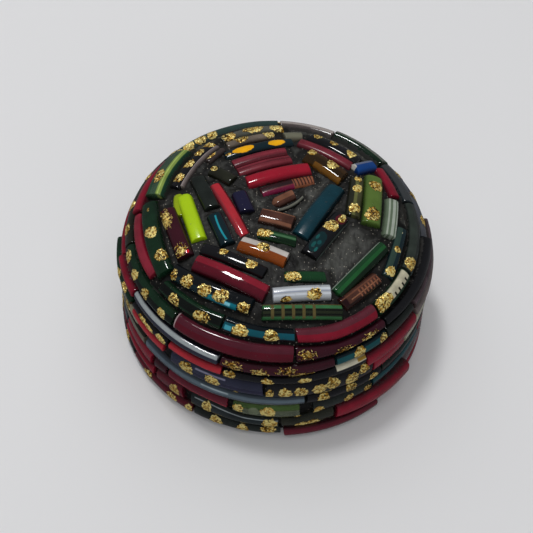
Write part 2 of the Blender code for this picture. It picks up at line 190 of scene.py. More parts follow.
@dataclass(frozen=True)
class Bed:
    """Surface of the lac that the rods are set on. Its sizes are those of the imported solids."""

    radius: float = 36.0 * MM
    foot_spread: float = 0.8 * MM
    crown_z: float = 37.8 * MM
    shoulder_z: float = 13.0 * MM
    seam_z: float = 22.9 * MM
    seam_gap: float = 0.3 * MM
    base_wall: float = 4.6 * MM
    floor: float = 3.5 * MM
    foot_chamfer: float = 0.8 * MM
    neck_wall: float = 1.6 * MM
    neck_height: float = 3.5 * MM
    neck_clearance: float = 0.3 * MM
    lid_wall: float = 3.5 * MM
    field_share: float = 5.0 / 6.0
    power: float = 3.7

    @property
    def height(self) -> float:
        """Height of the dome above the shoulder."""
        return self.crown_z - self.shoulder_z

    @property
    def grid(self) -> float:
        """One step of the plan that the field's rods are placed on, 30 steps from centre to edge."""
        return self.radius * self.field_share / 30.0

    def dome_radius(self, radius: float, height: float, z: float) -> float:
        """Distance of a dome's surface from the axis.

        Args:
            radius: the dome's radius at the shoulder.
            height: the dome's height above the shoulder.
            z: height of the point.

        Returns:
            The distance in metres.
        """
        share = min(max((z - self.shoulder_z) / height, 0.0), 1.0)
        return radius * (1.0 - share ** self.power) ** (1.0 / self.power)

    def radius_at(self, z: float) -> float:
        """Distance of the bed from the axis at height z, with its spread to the foot."""
        spread = self.foot_spread * max(0.0, 1.0 - z / self.shoulder_z)
        return self.dome_radius(self.radius, self.height, z) + spread

    def height_at(self, r: float) -> float:
        """Height of the bed at distance r from the axis."""
        share = min(r / self.radius, 1.0)
        return self.shoulder_z + self.height * (1.0 - share ** self.power) ** (1.0 / self.power)

    def normal(self, r: float, z: float) -> Vector:
        """Finds the outward direction of the bed.

        Args:
            r: distance of the point from the axis.
            z: height of the point.

        Returns:
            The direction as (r, z).
        """
        if z <= self.shoulder_z:
            return Vector((self.shoulder_z, self.foot_spread)).normalized()
        out = (r / self.radius) ** (self.power - 1.0) / self.radius
        up = ((z - self.shoulder_z) / self.height) ** (self.power - 1.0) / self.height
        return Vector((out, up)).normalized()

    def field_normal(self, x: float, y: float) -> Vector:
        """Finds the outward direction of the bed over a point of the plan.

        Args:
            x: the point's x in metres.
            y: the point's y in metres.

        Returns:
            The direction as (x, y, z).
        """
        r = max(math.hypot(x, y), 1e-6)
        out = self.normal(r, self.height_at(r))
        return Vector((out.x * x / r, out.x * y / r, out.y))

    def way(self) -> tuple[np.ndarray, np.ndarray, np.ndarray]:
        """Way up the bed from the foot to well inside the field.

        Returns:
            Distance along the way, r and z of its points.
        """
        side_top, field_end = self.seam_z + 7.0 * MM, self.radius * 0.55
        side = [(self.radius_at(z), z) for z in np.linspace(0.0, side_top, 200)]
        inner = np.linspace(side[-1][0], field_end, 121)[1:]
        points = np.array(side + [(r, self.height_at(r)) for r in inner])
        run = np.concatenate(([0.0], np.cumsum(np.hypot(*np.diff(points, axis=0).T))))
        return run, points[:, 0], points[:, 1]


BED = Bed()


@dataclass(frozen=True)
class CasedGlass:
    """Bangle glass: a coloured core cased in clear glass, drawn and fire polished, so it is glossy.

    The crest shows the colour, and the side colour is painted shade, darker down the sides; on amber it is a
    painted lit side, lighter than the crest.
    """

    slot: str
    crest: str
    # painted shade: the colour low on the sides, darker than the crest; on amber a painted lit side
    side: str
    clear: float = 0.0
    roughness: float = 0.07
    cloud: float = 0.12


class Glass(Enum):
    """Colours of glass on this box."""

    BLACK = CasedGlass("black_glass", "#141417", "#0C0C0E")
    CHARCOAL = CasedGlass("black_glass", "#1C211E", "#101412", cloud=0.3)
    CRIMSON = CasedGlass("crimson_glass", "#7A1326", "#4A0E1A", cloud=0.2)
    BRIGHT_RED = CasedGlass("crimson_glass", "#941428", "#6E101F", roughness=0.12)
    RED = CasedGlass("crimson_glass", "#A62731", "#5E141C", roughness=0.12)
    DULL_CRIMSON = CasedGlass("crimson_glass", "#6C202C", "#48141D", roughness=0.25, cloud=0.25)
    MAROON = CasedGlass("maroon_glass", "#540F1E", "#2E0A12")
    DARK_MAROON = CasedGlass("maroon_glass", "#35101B", "#200A10")
    DARK_GREEN = CasedGlass("dark_green_glass", "#14301E", "#12271A", clear=0.25, cloud=0.3)
    GREEN = CasedGlass("dark_green_glass", "#184224", "#0E2616", clear=0.2)
    EMERALD = CasedGlass("leaf_green_glass", "#1A4C30", "#102F20", clear=0.25, cloud=0.3)
    LEAF = CasedGlass("leaf_green_glass", "#5F7A36", "#3A5020", clear=0.25)
    LIME = CasedGlass("lime_glass", "#A6C80E", "#7E9C10", roughness=0.16, cloud=0.05)
    DARK_LIME = CasedGlass("lime_glass", "#8A9E14", "#66760F")
    OLIVE_BLACK = CasedGlass("olive_glass", "#24251C", "#15160F", cloud=0.3)
    OLIVE = CasedGlass("olive_glass", "#545834", "#363A26", clear=0.35, cloud=0.3)
    TEAL_BLACK = CasedGlass("teal_glass", "#0F2228", "#091519")
    TEAL = CasedGlass("teal_glass", "#0C4A56", "#072C34")
    PETROL = CasedGlass("teal_glass", "#0A333E", "#08242B", roughness=0.2, cloud=0.2)
    NAVY = CasedGlass("navy_glass", "#1B1A33", "#12111E")
    COBALT = CasedGlass("cobalt_glass", "#0C3A78", "#0A2450")
    WHITE = CasedGlass("white_glass", "#A8ACB0", "#80848C", roughness=0.15, cloud=0.05)
    SAGE = CasedGlass("sage_glass", "#6C7C66", "#55634F", clear=0.25)
    GREY_GREEN = CasedGlass("sage_glass", "#7E7D6A", "#5E5A4C", clear=0.3)
    AMBER = CasedGlass("amber_glass", "#3A2812", "#4E3514", clear=0.45)
    BROWN = CasedGlass("mauve_glass", "#463C3B", "#332C2B", clear=0.3, cloud=0.3)
    SMOKE = CasedGlass("black_glass", "#4E4F48", "#34362F", cloud=0.3)
    TAN = CasedGlass("mauve_glass", "#7A6E62", "#4E453C", clear=0.3, cloud=0.3)
    COPPER = CasedGlass("copper_glass", "#57362C", "#35201A", clear=0.3, cloud=0.3)
    SLATE = CasedGlass("slate_glass", "#414B54", "#2C343B")
    MAUVE = CasedGlass("mauve_glass", "#6A605E", "#4A4342", cloud=0.2)
    CREAM = CasedGlass("white_glass", "#8E8870", "#6C6856", cloud=0.2)


@dataclass(frozen=True)
class Stripe:
    """A line of colour along the rod, drawn into the glass, and on some rods painted light: a highlight or a
    lit side. Places and widths are shares of its width.
    """

    code: str
    at: float
    wide: float
    start: float = 0.0
    end: float = 1.0
    bow: float = 0.0


@dataclass(frozen=True)
class Teeth:
    """Bars of colour across a band of the rod, like the rungs of a ladder. The pitch is in metres."""

    code: str
    at: float
    wide: float
    start: float = 0.0
    end: float = 1.0
    pitch: float = 0.9 * MM
    thick: float = 0.4


@dataclass(frozen=True)
class Spot:
    """A blob of coloured enamel in the glass, placed by shares of the rod's length and half width."""

    code: str
    along: float
    across: float
    long: float
    wide: float


Paint = Stripe | Teeth | Spot


@dataclass(frozen=True)
class Dab:
    """A dab of gold leaf, or a patch of gold glitter, on a rod.

    Its place along the rod is a share of the length, and across it a share of the half width, with the
    left of the way along it, or the upper side of a row, above 0. Its sizes are in millimetres.
    """

    along: float
    across: float = 0.0
    long: float = 3.2
    wide: float = 3.0
    glitter: bool = False


class GlassPainter:
    """Mixes the material of one rod from its glass and what is painted in it.

    The scales are repeats a metre: edges of enamel ragged over about 1.1 mm, clouds in the glass about 4 mm
    wide, and specks of dust of about 0.7 mm, coarser than real dust so that they show.
    """

    ragged_scale = 900.0
    cloud_scale = 260.0
    speck_scale = 1500.0
    # painted shade and dust: the dark colour laid on the glass towards its foot and in specks
    foot_shade_and_dust_tone = "#1E1B18"

    def __init__(self, name: str, glass: CasedGlass, length: float, width: float) -> None:
        """Starts the material.

        Args:
            name: name of the rod.
            glass: its glass.
            length: the rod's length in metres.
            width: the rod's width in metres.
        """
        self.glass = glass
        self.length = length / MM
        self.half = width / MM / 2.0
        self.material = blank_material(name)
        self.tree = self.material.node_tree
        place = add_node(self.tree, "ShaderNodeAttribute", attribute_name="rod_place")
        split = add_node(self.tree, "ShaderNodeSeparateXYZ", {0: place.outputs["Vector"]})
        self.along, self.across, self.height = split.outputs
        self.spot_place = add_node(self.tree, "ShaderNodeTexCoord").outputs["Object"]

    def near(self, value: Any, middle: float, reach: float, soft: float) -> Any:
        """Mask that is 1 where a value lies within reach of a middle and falls to 0 over a soft edge.

        Args:
            value: socket of the value.
            middle: the middle.
            reach: how far from it the mask is full.
            soft: how wide its edge is.

        Returns:
            Socket of the mask.
        """
        off = add_node(self.tree, "ShaderNodeMath", {0: value, 1: middle}, operation="SUBTRACT")
        far = add_node(self.tree, "ShaderNodeMath", {0: off.outputs[0]}, operation="ABSOLUTE")
        mask = add_node(
            self.tree, "ShaderNodeMapRange",
            {0: far.outputs[0], 1: max(reach - soft, 0.0), 2: reach + soft, 3: 1.0, 4: 0.0},
            interpolation_type="SMOOTHSTEP")
        return mask.outputs[0]

    def both(self, one: Any, other: Any) -> Any:
        """Mask that is there where both masks are."""
        return add_node(self.tree, "ShaderNodeMath", {0: one, 1: other}, operation="MULTIPLY").outputs[0]

    def stretch(self, start: float, end: float) -> Any:
        """Mask of a stretch of the rod between two shares of its length."""
        middle = (start + end) / 2.0 * self.length
        return self.near(self.along, middle, (end - start) / 2.0 * self.length, 0.15)

    def mask(self, paint: Paint) -> Any:
        """Mask of one thing painted in the glass.

        Args:
            paint: what is painted.

        Returns:
            Socket of its mask.
        """
        if isinstance(paint, Spot):
            return self.spot_mask(paint)
        across = self.across
        if isinstance(paint, Stripe) and paint.bow:
            share = add_node(
                self.tree, "ShaderNodeMath",
                {0: self.along, 1: math.pi / self.length}, operation="MULTIPLY")
            wave = add_node(self.tree, "ShaderNodeMath", {0: share.outputs[0]}, operation="SINE")
            across = add_node(
                self.tree, "ShaderNodeMath",
                {0: wave.outputs[0], 1: -paint.bow * self.half, 2: across},
                operation="MULTIPLY_ADD").outputs[0]
        band = self.near(across, paint.at * self.half, paint.wide * self.half, 0.1)
        band = self.both(band, self.stretch(paint.start, paint.end))
        if isinstance(paint, Stripe):
            return band
        pitch = paint.pitch / MM
        step = add_node(self.tree, "ShaderNodeMath", {0: self.along, 1: pitch}, operation="PINGPONG")
        return self.both(band, self.near(step.outputs[0], 0.0, pitch * paint.thick, 0.08))

    def spot_mask(self, paint: Spot) -> Any:
        """Mask of a blob with a slightly ragged edge.

        Args:
            paint: the blob.

        Returns:
            Socket of its mask.
        """
        ragged = add_node(
            self.tree, "ShaderNodeTexNoise", {"Vector": self.spot_place, "Scale": self.ragged_scale})
        squares = []
        for value, middle, size in (
                (self.along, paint.along * self.length, paint.long / 2.0),
                (self.across, paint.across * self.half, paint.wide / 2.0)):
            off = add_node(self.tree, "ShaderNodeMath", {0: value, 1: middle}, operation="SUBTRACT")
            share = add_node(self.tree, "ShaderNodeMath", {0: off.outputs[0], 1: size}, operation="DIVIDE")
            square = add_node(self.tree, "ShaderNodeMath", {0: share.outputs[0], 1: 2.0}, operation="POWER")
            squares.append(square.outputs[0])
        total = add_node(self.tree, "ShaderNodeMath", {0: squares[0], 1: squares[1]}, operation="ADD")
        worn = add_node(
            self.tree, "ShaderNodeMath",
            {0: ragged.outputs[0], 1: 0.8, 2: total.outputs[0]}, operation="MULTIPLY_ADD")
        mask = add_node(
            self.tree, "ShaderNodeMapRange",
            {0: worn.outputs[0], 1: 1.25, 2: 1.5, 3: 1.0, 4: 0.0}, interpolation_type="SMOOTHSTEP")
        return mask.outputs[0]

    def mix(self, mask: Any, under: Any, over: Any) -> Any:
        """Lays one colour over another by a mask.

        Args:
            mask: socket of the mask.
            under: colour or socket below.
            over: colour or socket above.

        Returns:
            Socket of the mixed colour.
        """
        mixed = add_node(self.tree, "ShaderNodeMix", {0: mask, 6: under, 7: over}, data_type="RGBA")
        return mixed.outputs[2]

    def finish(self, paints: tuple[Paint, ...]) -> bpy.types.Material:
        """Paints the glass and closes it with its shader.

        Args:
            paints: what is painted in the glass, from the bottom up.

        Returns:
            The material.
        """
        # painted shade: the colour runs from the side colour low on the rod up to the crest colour on top
        crest = add_node(
            self.tree, "ShaderNodeMapRange",
            {0: self.height, 1: 0.5, 2: 0.99, 3: 0.0, 4: 1.0}, interpolation_type="SMOOTHSTEP")
        colour = self.mix(crest.outputs[0], linear(self.glass.side), linear(self.glass.crest))
        cloud = add_node(
            self.tree, "ShaderNodeTexNoise",
            {"Vector": self.spot_place, "Scale": self.cloud_scale, "Detail": 4.0})
        for paint in paints:
            colour = self.mix(self.mask(paint), colour, linear(paint.code))
        tone = add_node(
            self.tree, "ShaderNodeMapRange",
            {0: cloud.outputs[0], 1: 0.3, 2: 0.7, 3: 1.0 - self.glass.cloud, 4: 1.0 + self.glass.cloud})
        colour = add_node(
            self.tree, "ShaderNodeHueSaturation", {"Value": tone.outputs[0], "Color": colour}).outputs[0]
        # painted shade: the glass darkens and dulls towards its foot, with specks of dust above
        foot_shade_and_dust = self.foot_shade_and_dust()
        colour = self.mix(foot_shade_and_dust, colour, linear(self.foot_shade_and_dust_tone))
        gloss = add_node(
            self.tree, "ShaderNodeMapRange",
            {0: foot_shade_and_dust, 1: 0.0, 2: 0.6, 3: self.glass.roughness, 4: 0.6})
        bump = add_node(
            self.tree, "ShaderNodeBump",
            {"Height": cloud.outputs[0], "Strength": 0.2, "Distance": 0.15 * MM})
        shader = add_node(
            self.tree, "ShaderNodeBsdfPrincipled",
            {"Base Color": colour, "Roughness": gloss.outputs[0], "IOR": 1.5,
             "Transmission Weight": self.glass.clear, "Normal": bump.outputs[0]})
        add_node(self.tree, "ShaderNodeOutputMaterial", {0: shader.outputs[0]})
        return self.material

    def foot_shade_and_dust(self) -> Any:
        """Mask of painted shade and dust: painted shade that thickens towards the foot, where the glass
        meets the bed, and thin specks of dust above.

        Returns:
            Socket of the mask.
        """
        low = add_node(self.tree, "ShaderNodeMapRange", {0: self.height, 1: 0.2, 2: 0.62, 3: 0.5, 4: 0.0})
        specks = add_node(
            self.tree, "ShaderNodeTexNoise",
            {"Vector": self.spot_place, "Scale": self.speck_scale, "Detail": 2.0})
        total = add_node(
            self.tree, "ShaderNodeMath", {0: low.outputs[0], 1: specks.outputs[0]}, operation="ADD")
        mask = add_node(
            self.tree, "ShaderNodeMapRange", {0: total.outputs[0], 1: 0.66, 2: 0.86, 3: 0.0, 4: 0.85})
        return mask.outputs[0]


@dataclass
class GlassRod:
    """A cut length of D-section glass. In its own frame X runs along it from one end and Z off the bed.

    The shares of its section are of its width, or of its rise where they say how high. The wave scales are
    repeats a metre, along the rod and across it.
    """

    name: str
    glass: Glass
    length: float
    width: float
    rise: float
    lay: Lay
    paint: tuple[Paint, ...] = ()
    dabs: tuple[Dab, ...] = ()
    round_start: bool = False
    section_points: int = 26
    ring_step: float = 0.45 * MM
    squareness: float = 0.68
    section_middle: float = 0.42
    arc_share: float = 0.82
    end_bevel: float = 0.14 * MM
    end_inset: float = 0.17
    break_reach: float = 1.2 * MM
    break_slope: float = 0.25
    chip: float = 0.35 * MM
    waver: float = 0.05 * MM
    wave_along: float = 260.0
    wave_across: float = 300.0
    smooth_angle: float = 42.0

    def blank(self) -> bpy.types.Object:
        """Draws a round bar of the rod's length along X, with softened ends.

        Returns:
            The bar, whose radius is half the rod's width.
        """
        def lengthwise(edge: bpy.types.MeshEdge) -> bool:
            """Tells whether an edge runs along the bar."""
            one, other = (bar.data.vertices[index].co.x for index in edge.vertices)
            return abs(one - other) > self.length / 2.0

        def capping(face: bpy.types.MeshPolygon) -> bool:
            """Tells whether a face closes one of the bar's ends."""
            return len(face.vertices) == self.section_points

        clear_selection()
        bpy.ops.mesh.primitive_circle_add(
            vertices=self.section_points, radius=self.width / 2.0, fill_type="NGON",
            rotation=(0.0, math.pi / 2.0, 0.0))
        bar = bpy.context.object
        bar.name = bar.data.name = self.name
        bpy.ops.object.transform_apply(location=True, rotation=True, scale=True)
        bpy.ops.object.mode_set(mode="EDIT")
        bpy.ops.mesh.select_all(action="SELECT")
        bpy.ops.mesh.extrude_region_move(TRANSFORM_OT_translate={"value": (self.length, 0.0, 0.0)})
        bpy.ops.object.mode_set(mode="OBJECT")
        edit_some(bar, "EDGE", lengthwise)
        bpy.ops.mesh.subdivide(number_cuts=max(3, round(self.length / self.ring_step)))
        bpy.ops.object.mode_set(mode="OBJECT")
        edit_some(bar, "FACE", capping)
        bpy.ops.mesh.bevel(offset=self.end_bevel, segments=2, affect="EDGES")
        bpy.ops.object.mode_set(mode="OBJECT")
        edit_some(bar, "FACE", capping)
        bpy.ops.mesh.inset(thickness=self.width * self.end_inset)
        bpy.ops.mesh.poke()
        bpy.ops.mesh.select_all(action="SELECT")
        bpy.ops.mesh.normals_make_consistent(inside=False)
        bpy.ops.object.mode_set(mode="OBJECT")
        return bar

    def outline(self, angle: np.ndarray) -> tuple[np.ndarray, np.ndarray]:
        """Draws the outline of the D section.

        Args:
            angle: angles round it, from its left edge over the crest.

        Returns:
            For each angle the share of half the width and of the rise.
        """
        side = np.sign(np.cos(angle)) * np.abs(np.cos(angle)) ** self.squareness
        return side, np.where(np.sin(angle) > 0.0, np.abs(np.sin(angle)) ** self.squareness, 0.0)

    def section(self, points: np.ndarray) -> np.ndarray:
        """Presses the round bar into the D section, flat side down at height 0.

        Args:
            points: places on the round bar.

        Returns:
            Places on the D bar.
        """
        share = np.hypot(points[:, 1], points[:, 2]) / (self.width / 2.0)
        side, up = self.outline(np.arctan2(points[:, 2], points[:, 1]))
        middle = self.section_middle
        shaped = points.copy()
        shaped[:, 1] = side * share * self.width / 2.0
        shaped[:, 2] = (middle + (up - middle) * share) * self.rise
        return shaped

    def break_ends(self, points: np.ndarray) -> np.ndarray:
        """Tilts and chips the two ends, because the rods are snapped off and not sawn.

        Args:
            points: places on the D bar.

        Returns:
            Places with the ends broken.
        """
        luck = dice(self.name)
        broken = points.copy()
        across = points[:, 1] / (self.width / 2.0)
        up = points[:, 2] / self.rise
        for end, sign in ((0.0, 1.0), (self.length, -1.0)):
            near = np.clip(1.0 - np.abs(points[:, 0] - end) / self.break_reach, 0.0, 1.0) ** 1.5
            tilt, lean, corner = luck.uniform(-0.2, 0.2), luck.uniform(0.0, 0.22), luck.choice((-1.0, 1.0))
            chip = np.clip(0.7 * up + 0.6 * corner * across - 0.35, 0.0, 1.0) ** 2 * self.chip
            slope = (tilt * across + lean * up) * self.width * self.break_slope
            rough = luck.uniform(-0.04, 0.04, len(points)) * MM
            if self.round_start and end == 0.0:
                reach = self.width * 0.5
                inside = np.clip(1.0 - points[:, 0] / reach, 0.0, 1.0)
                shrink = np.sqrt(np.clip(1.0 - inside ** 2, 0.0, 1.0))
                broken[:, 1] *= shrink
                broken[:, 2] *= 0.3 + 0.7 * shrink
                continue
            broken[:, 0] += sign * near * (chip + slope + rough)
        return broken

    def waved(self, points: np.ndarray) -> np.ndarray:
        """Lets the surface run in slight waves, as drawn glass does.

        Args:
            points: places on the D bar.

        Returns:
            Places with the crest rising and falling a little.
        """
        seed = float(dice(self.name).uniform(0.0, 50.0))
        pushed = points.copy()
        for index, (x, y, z) in enumerate(points):
            if z > 0.0:
                wave = noise.noise(
                    Vector((x * self.wave_along + seed, y * self.wave_across, z * self.wave_across)))
                pushed[index, 2] = z + wave * self.waver * z / self.rise
        return pushed

    def model(self) -> bpy.types.Object:
        """Models the rod and lays it in its place.

        Returns:
            The finished rod, with its place on itself kept for its paint.
        """
        bar = self.blank()
        shaped = self.section(read_points(bar))
        kept = np.column_stack((shaped[:, 0] / MM, shaped[:, 1] / MM, shaped[:, 2] / self.rise))
        attribute = bar.data.attributes.new("rod_place", "FLOAT_VECTOR", "POINT")
        attribute.data.foreach_set("vector", kept.astype(np.float32).ravel())
        write_points(bar, self.lay(self.waved(self.break_ends(shaped))))
        bpy.ops.object.shade_smooth_by_angle(angle=math.radians(self.smooth_angle))
        return bar

    def dress(self, bar: bpy.types.Object) -> None:
        """Gives the rod its glass."""
        painter = GlassPainter(self.name, self.glass.value, self.length, self.width)
        bar.data.materials.append(painter.finish(self.paint))

    def surface(self, along: np.ndarray, arc: np.ndarray, height: np.ndarray) -> np.ndarray:
        """Finds places on or just above the glass, in the frame of the box.

        Args:
            along: distance from the rod's start.
            arc: distance over the section from its crest, positive to the left.
            height: how far above the glass.

        Returns:
            The places, one row each.
        """
        angle = np.linspace(0.0, math.pi, 121)
        side, up = self.outline(angle)
        side, up = side * self.width / 2.0, up * self.rise
        steps = np.hypot(np.diff(side), np.diff(up))
        run = np.concatenate(([0.0], np.cumsum(steps)))
        run = run[-1] / 2.0 - run
        order = np.argsort(run)
        y = np.interp(arc, run[order], side[order])
        z = np.interp(arc, run[order], up[order])
        lean = np.clip(y / (self.width / 2.0), -1.0, 1.0)
        out = np.column_stack((along, y + lean * height, z + np.sqrt(1.0 - lean ** 2 * 0.8) * height))
        return self.lay(out)

    def arc_half(self) -> float:
        """Distance over the section from its crest to its foot."""
        return (self.width / 2.0 + self.rise) * self.arc_share

    def build(self, gold: GoldLeaf, node: str) -> None:
        """Models, dresses and gilds the rod, rides it on the box and hides its CAD node.

        Args:
            gold: the gold leaf of its half of the box.
            node: the CAD node that it stands for.
        """
        bar = self.model()
        self.dress(bar)
        gold.gild(self)
        hand_in(bar, self.glass.value.slot, node)


@dataclass
class GoldLeaf:
    """Gold leaf fired on the glass: crumpled metal foil, so each small facet is bright or dark by itself,
    and its colour adds painted glints and painted shade cell by cell.

    A dab is one torn scrap. Glitter is a branching scatter of small flakes, in so many runs a square
    millimetre. The facets of its metal are about 0.35 mm, coarser than real leaf so that they show, and
    its tone shifts over about 6 mm.
    """

    name: str
    cuts: int = 13
    crumple: float = 0.17 * MM
    lift: float = 0.04 * MM
    thickness: float = 0.05 * MM
    flake: float = 0.1 * MM
    runs: float = 3.4
    edge_share: float = 0.93
    end_gap: float = 0.08 * MM
    facet_scale: float = 2900.0
    shift_scale: float = 160.0
    scrap: tuple[np.ndarray, np.ndarray] = field(init=False)
    speck: tuple[np.ndarray, np.ndarray] = field(init=False)
    points: list[np.ndarray] = field(default_factory=list)
    faces: list[np.ndarray] = field(default_factory=list)
    count: int = 0

    def cut(self) -> None:
        """Cuts the scrap and the flake that all others are copied from, each with a radius of 1."""
        clear_selection()
        bpy.ops.mesh.primitive_grid_add(x_subdivisions=self.cuts, y_subdivisions=self.cuts, size=2.0)
        scrap = bpy.context.object
        square = read_points(scrap)
        x, y = square[:, 0], square[:, 1]
        disc = np.column_stack((x * np.sqrt(1.0 - y ** 2 / 2.0), y * np.sqrt(1.0 - x ** 2 / 2.0)))
        self.scrap = disc, self.triangles(scrap)
        bpy.ops.mesh.primitive_circle_add(vertices=6, radius=1.0, fill_type="TRIFAN")
        speck = bpy.context.object
        self.speck = read_points(speck)[:, :2], self.triangles(speck)

    @staticmethod
    def triangles(piece: bpy.types.Object) -> np.ndarray:
        """Cuts a flat piece into triangles and throws it away.

        Args:
            piece: the flat piece.

        Returns:
            The corners of each triangle, by number.
        """
        pick(piece)
        bpy.ops.object.mode_set(mode="EDIT")
        bpy.ops.mesh.select_all(action="SELECT")
        bpy.ops.mesh.quads_convert_to_tris()
        bpy.ops.object.mode_set(mode="OBJECT")
        faces = np.array([tuple(face.vertices) for face in piece.data.polygons])
        bpy.data.objects.remove(piece)
        return faces

    def press(self, rod: GlassRod, faces: np.ndarray, along: np.ndarray, arc: np.ndarray,
              height: np.ndarray) -> None:
        """Presses one scrap or flake on a rod.

        Args:
            rod: the rod.
            faces: the scrap's triangles.
            along: for each of its points the distance from the rod's start.
            arc: the distance over the section from its crest.
            height: how far above the glass.
        """
        edge = rod.arc_half() * self.edge_share
        along = np.clip(along, self.end_gap, rod.length - self.end_gap)
        self.points.append(rod.surface(along, np.clip(arc, -edge, edge), height))
        self.faces.append(faces + self.count)
        self.count += len(along)

    def dab(self, rod: GlassRod, spec: Dab, number: int) -> None:
        """Presses a torn, crumpled scrap on a rod.

        Args:
            rod: the rod.
            spec: where it lies and how large it is.
            number: which of the rod's dabs it is.
        """
        luck = dice(f"{rod.name} dab {number}")
        flat, faces = self.scrap
        reach = np.hypot(flat[:, 0], flat[:, 1])
        angle = np.arctan2(flat[:, 1], flat[:, 0])
        phases = luck.uniform(0.0, math.tau, 3)
        torn = 0.93 + 0.07 * np.sin(2 * angle + phases[0]) + 0.06 * np.sin(3 * angle + phases[1])
        torn += (0.05 * np.sin(7 * angle + phases[2]) + luck.uniform(-0.09, 0.09, len(flat))) * reach ** 2
        jitter = luck.uniform(-0.35, 0.35, (2, len(flat))) * (2.0 / self.cuts)
        along = spec.along * rod.length + (flat[:, 0] * torn + jitter[0]) * spec.long / 2.0 * MM
        arc = spec.across * rod.arc_half() + (flat[:, 1] * torn + jitter[1]) * spec.wide / 2.0 * MM
        height = self.lift + luck.uniform(0.0, 1.0, len(flat)) ** 1.3 * self.crumple * (1.2 - reach)
        self.press(rod, faces, along, arc, height)

    def glitter(self, rod: GlassRod, spec: Dab, number: int) -> None:
        """Scatters flakes in branching runs over a patch of a rod.

        Args:
            rod: the rod.
            spec: where the patch lies and how large it is.
            number: which of the rod's patches it is.
        """
        luck = dice(f"{rod.name} glitter {number}")
        flat, faces = self.speck
        for _ in range(max(4, round(spec.long * spec.wide * self.runs))):
            heading = luck.uniform(0.0, math.tau)
            centre = luck.normal(0.0, 0.38, 2)
            for _ in range(luck.integers(4, 10)):
                centre = centre + np.array((math.cos(heading), math.sin(heading))) * luck.uniform(0.05, 0.12)
                heading += luck.normal(0.0, 0.6)
                if np.hypot(*centre) > 1.0:
                    break
                size = self.flake * luck.uniform(0.5, 1.3)
                turn = luck.uniform(0.0, math.tau)
                spin = np.array(((math.cos(turn), -math.sin(turn)), (math.sin(turn), math.cos(turn))))
                shape = (flat * np.array((1.0, luck.uniform(0.45, 0.9)))) @ spin.T * size
                along = spec.along * rod.length + centre[0] * spec.long / 2.0 * MM + shape[:, 0]
                arc = spec.across * rod.arc_half() + centre[1] * spec.wide / 2.0 * MM + shape[:, 1]
                height = self.lift + luck.uniform(0.0, 0.12, len(flat)) * MM
                self.press(rod, faces, along, arc, height)

    def gild(self, rod: GlassRod) -> None:
        """Lays all the gold of one rod.

        Args:
            rod: the rod.
        """
        for number, spec in enumerate(rod.dabs):
            if spec.glitter:
                self.glitter(rod, spec, number)
            else:
                self.dab(rod, spec, number)

    def model(self) -> bpy.types.Object:
        """Makes one piece of all the scraps, with the thickness of foil.

        Returns:
            The piece.
        """
        mesh = bpy.data.meshes.new(self.name)
        mesh.from_pydata(np.concatenate(self.points).tolist(), [], np.concatenate(self.faces).tolist())
        piece = bpy.data.objects.new(self.name, mesh)
        bpy.context.scene.collection.objects.link(piece)
        pick(piece)
        shell = piece.modifiers.new("foil", "SOLIDIFY")
        shell.thickness = self.thickness
        shell.offset = -1.0
        bpy.ops.object.modifier_apply(modifier=shell.name)
        return piece

    def dress(self, piece: bpy.types.Object) -> None:
        """Gives the foil its metal, bright but crumpled; its colour runs cell by cell from near black brown
        to pale yellow, as painted glints and painted shade, with a slow shift of tone.

        Args:
            piece: the piece of foil.
        """
        material = blank_material("gold_leaf")
        tree = material.node_tree
        place = add_node(tree, "ShaderNodeTexCoord").outputs["Object"]
        # painted glints and shade: each cell gets its own brightness of gold, from near black brown to pale
        # yellow
        glint_cells = add_node(tree, "ShaderNodeTexVoronoi", {"Vector": place, "Scale": self.facet_scale})
        split = add_node(tree, "ShaderNodeSeparateColor", {0: glint_cells.outputs["Color"]})
        shift = add_node(tree, "ShaderNodeTexNoise", {"Vector": place, "Scale": self.shift_scale})
        tone = add_node(
            tree, "ShaderNodeMath",
            {0: split.outputs[0], 1: 0.7, 2: shift.outputs[0]}, operation="MULTIPLY_ADD")
        ramp = add_node(tree, "ShaderNodeValToRGB", {0: tone.outputs[0]})
        stops = ramp.color_ramp.elements
        stops[0].position, stops[0].color = 0.48, linear("#1E1204")
        stops[1].position, stops[1].color = 1.0, linear("#FFEC98")
        for place_on, code in ((0.66, "#8C641E"), (0.82, "#DAA83E")):
            stops.new(place_on).color = linear(code)
        bump = add_node(
            tree, "ShaderNodeBump",
            {"Height": glint_cells.outputs["Distance"], "Strength": 0.9, "Distance": 0.14 * MM})
        shader = add_node(
            tree, "ShaderNodeBsdfPrincipled",
            {"Base Color": ramp.outputs[0], "Metallic": 0.5, "Roughness": 0.3, "Normal": bump.outputs[0]})
        add_node(tree, "ShaderNodeOutputMaterial", {0: shader.outputs[0]})
        piece.data.materials.append(material)


def plan_dabs(rod: FieldSpec) -> tuple[Dab, ...]:
    """Turns a field rod's gold, given on the plan, into places on the rod.

    Args:
        rod: the rod as it is listed.

    Returns:
        Its dabs and patches of glitter.
    """
    arc_share, most_across = 0.6, 0.5
    start, end = Vector(rod.start), Vector(rod.end)
    along = (end - start).normalized()
    left = Vector((-along.y, along.x))
    made = []
    for x, y, *sizes in rod.gold:
        off = Vector((x, y)) - start
        size = sizes[0] if sizes else Dab.long
        wide = sizes[1] if len(sizes) > 1 else min(size, rod.width)
        across = off.dot(left) / (rod.width / 2.0) * arc_share
        across = max(-most_across, min(most_across, across))
        made.append(Dab(off.dot(along) / (end - start).length, across, size, wide, len(sizes) > 2))
    return tuple(made)


@dataclass(frozen=True)
class FieldSpec:
    """A rod of the field: its crest's two ends and its width on the plan's grid, its glass and its gold.

    Each dab of gold is (x, y), or (x, y, length), or (x, y, length, width) in grid steps. A fifth number
    says that it is glitter.
    """

    name: str
    start: tuple[float, float]
    end: tuple[float, float]
    width: float
    glass: Glass
    bow: float = 0.0
    gold: tuple[tuple[float, ...], ...] = ()
    paint: tuple[Paint, ...] = ()
    round_start: bool = False


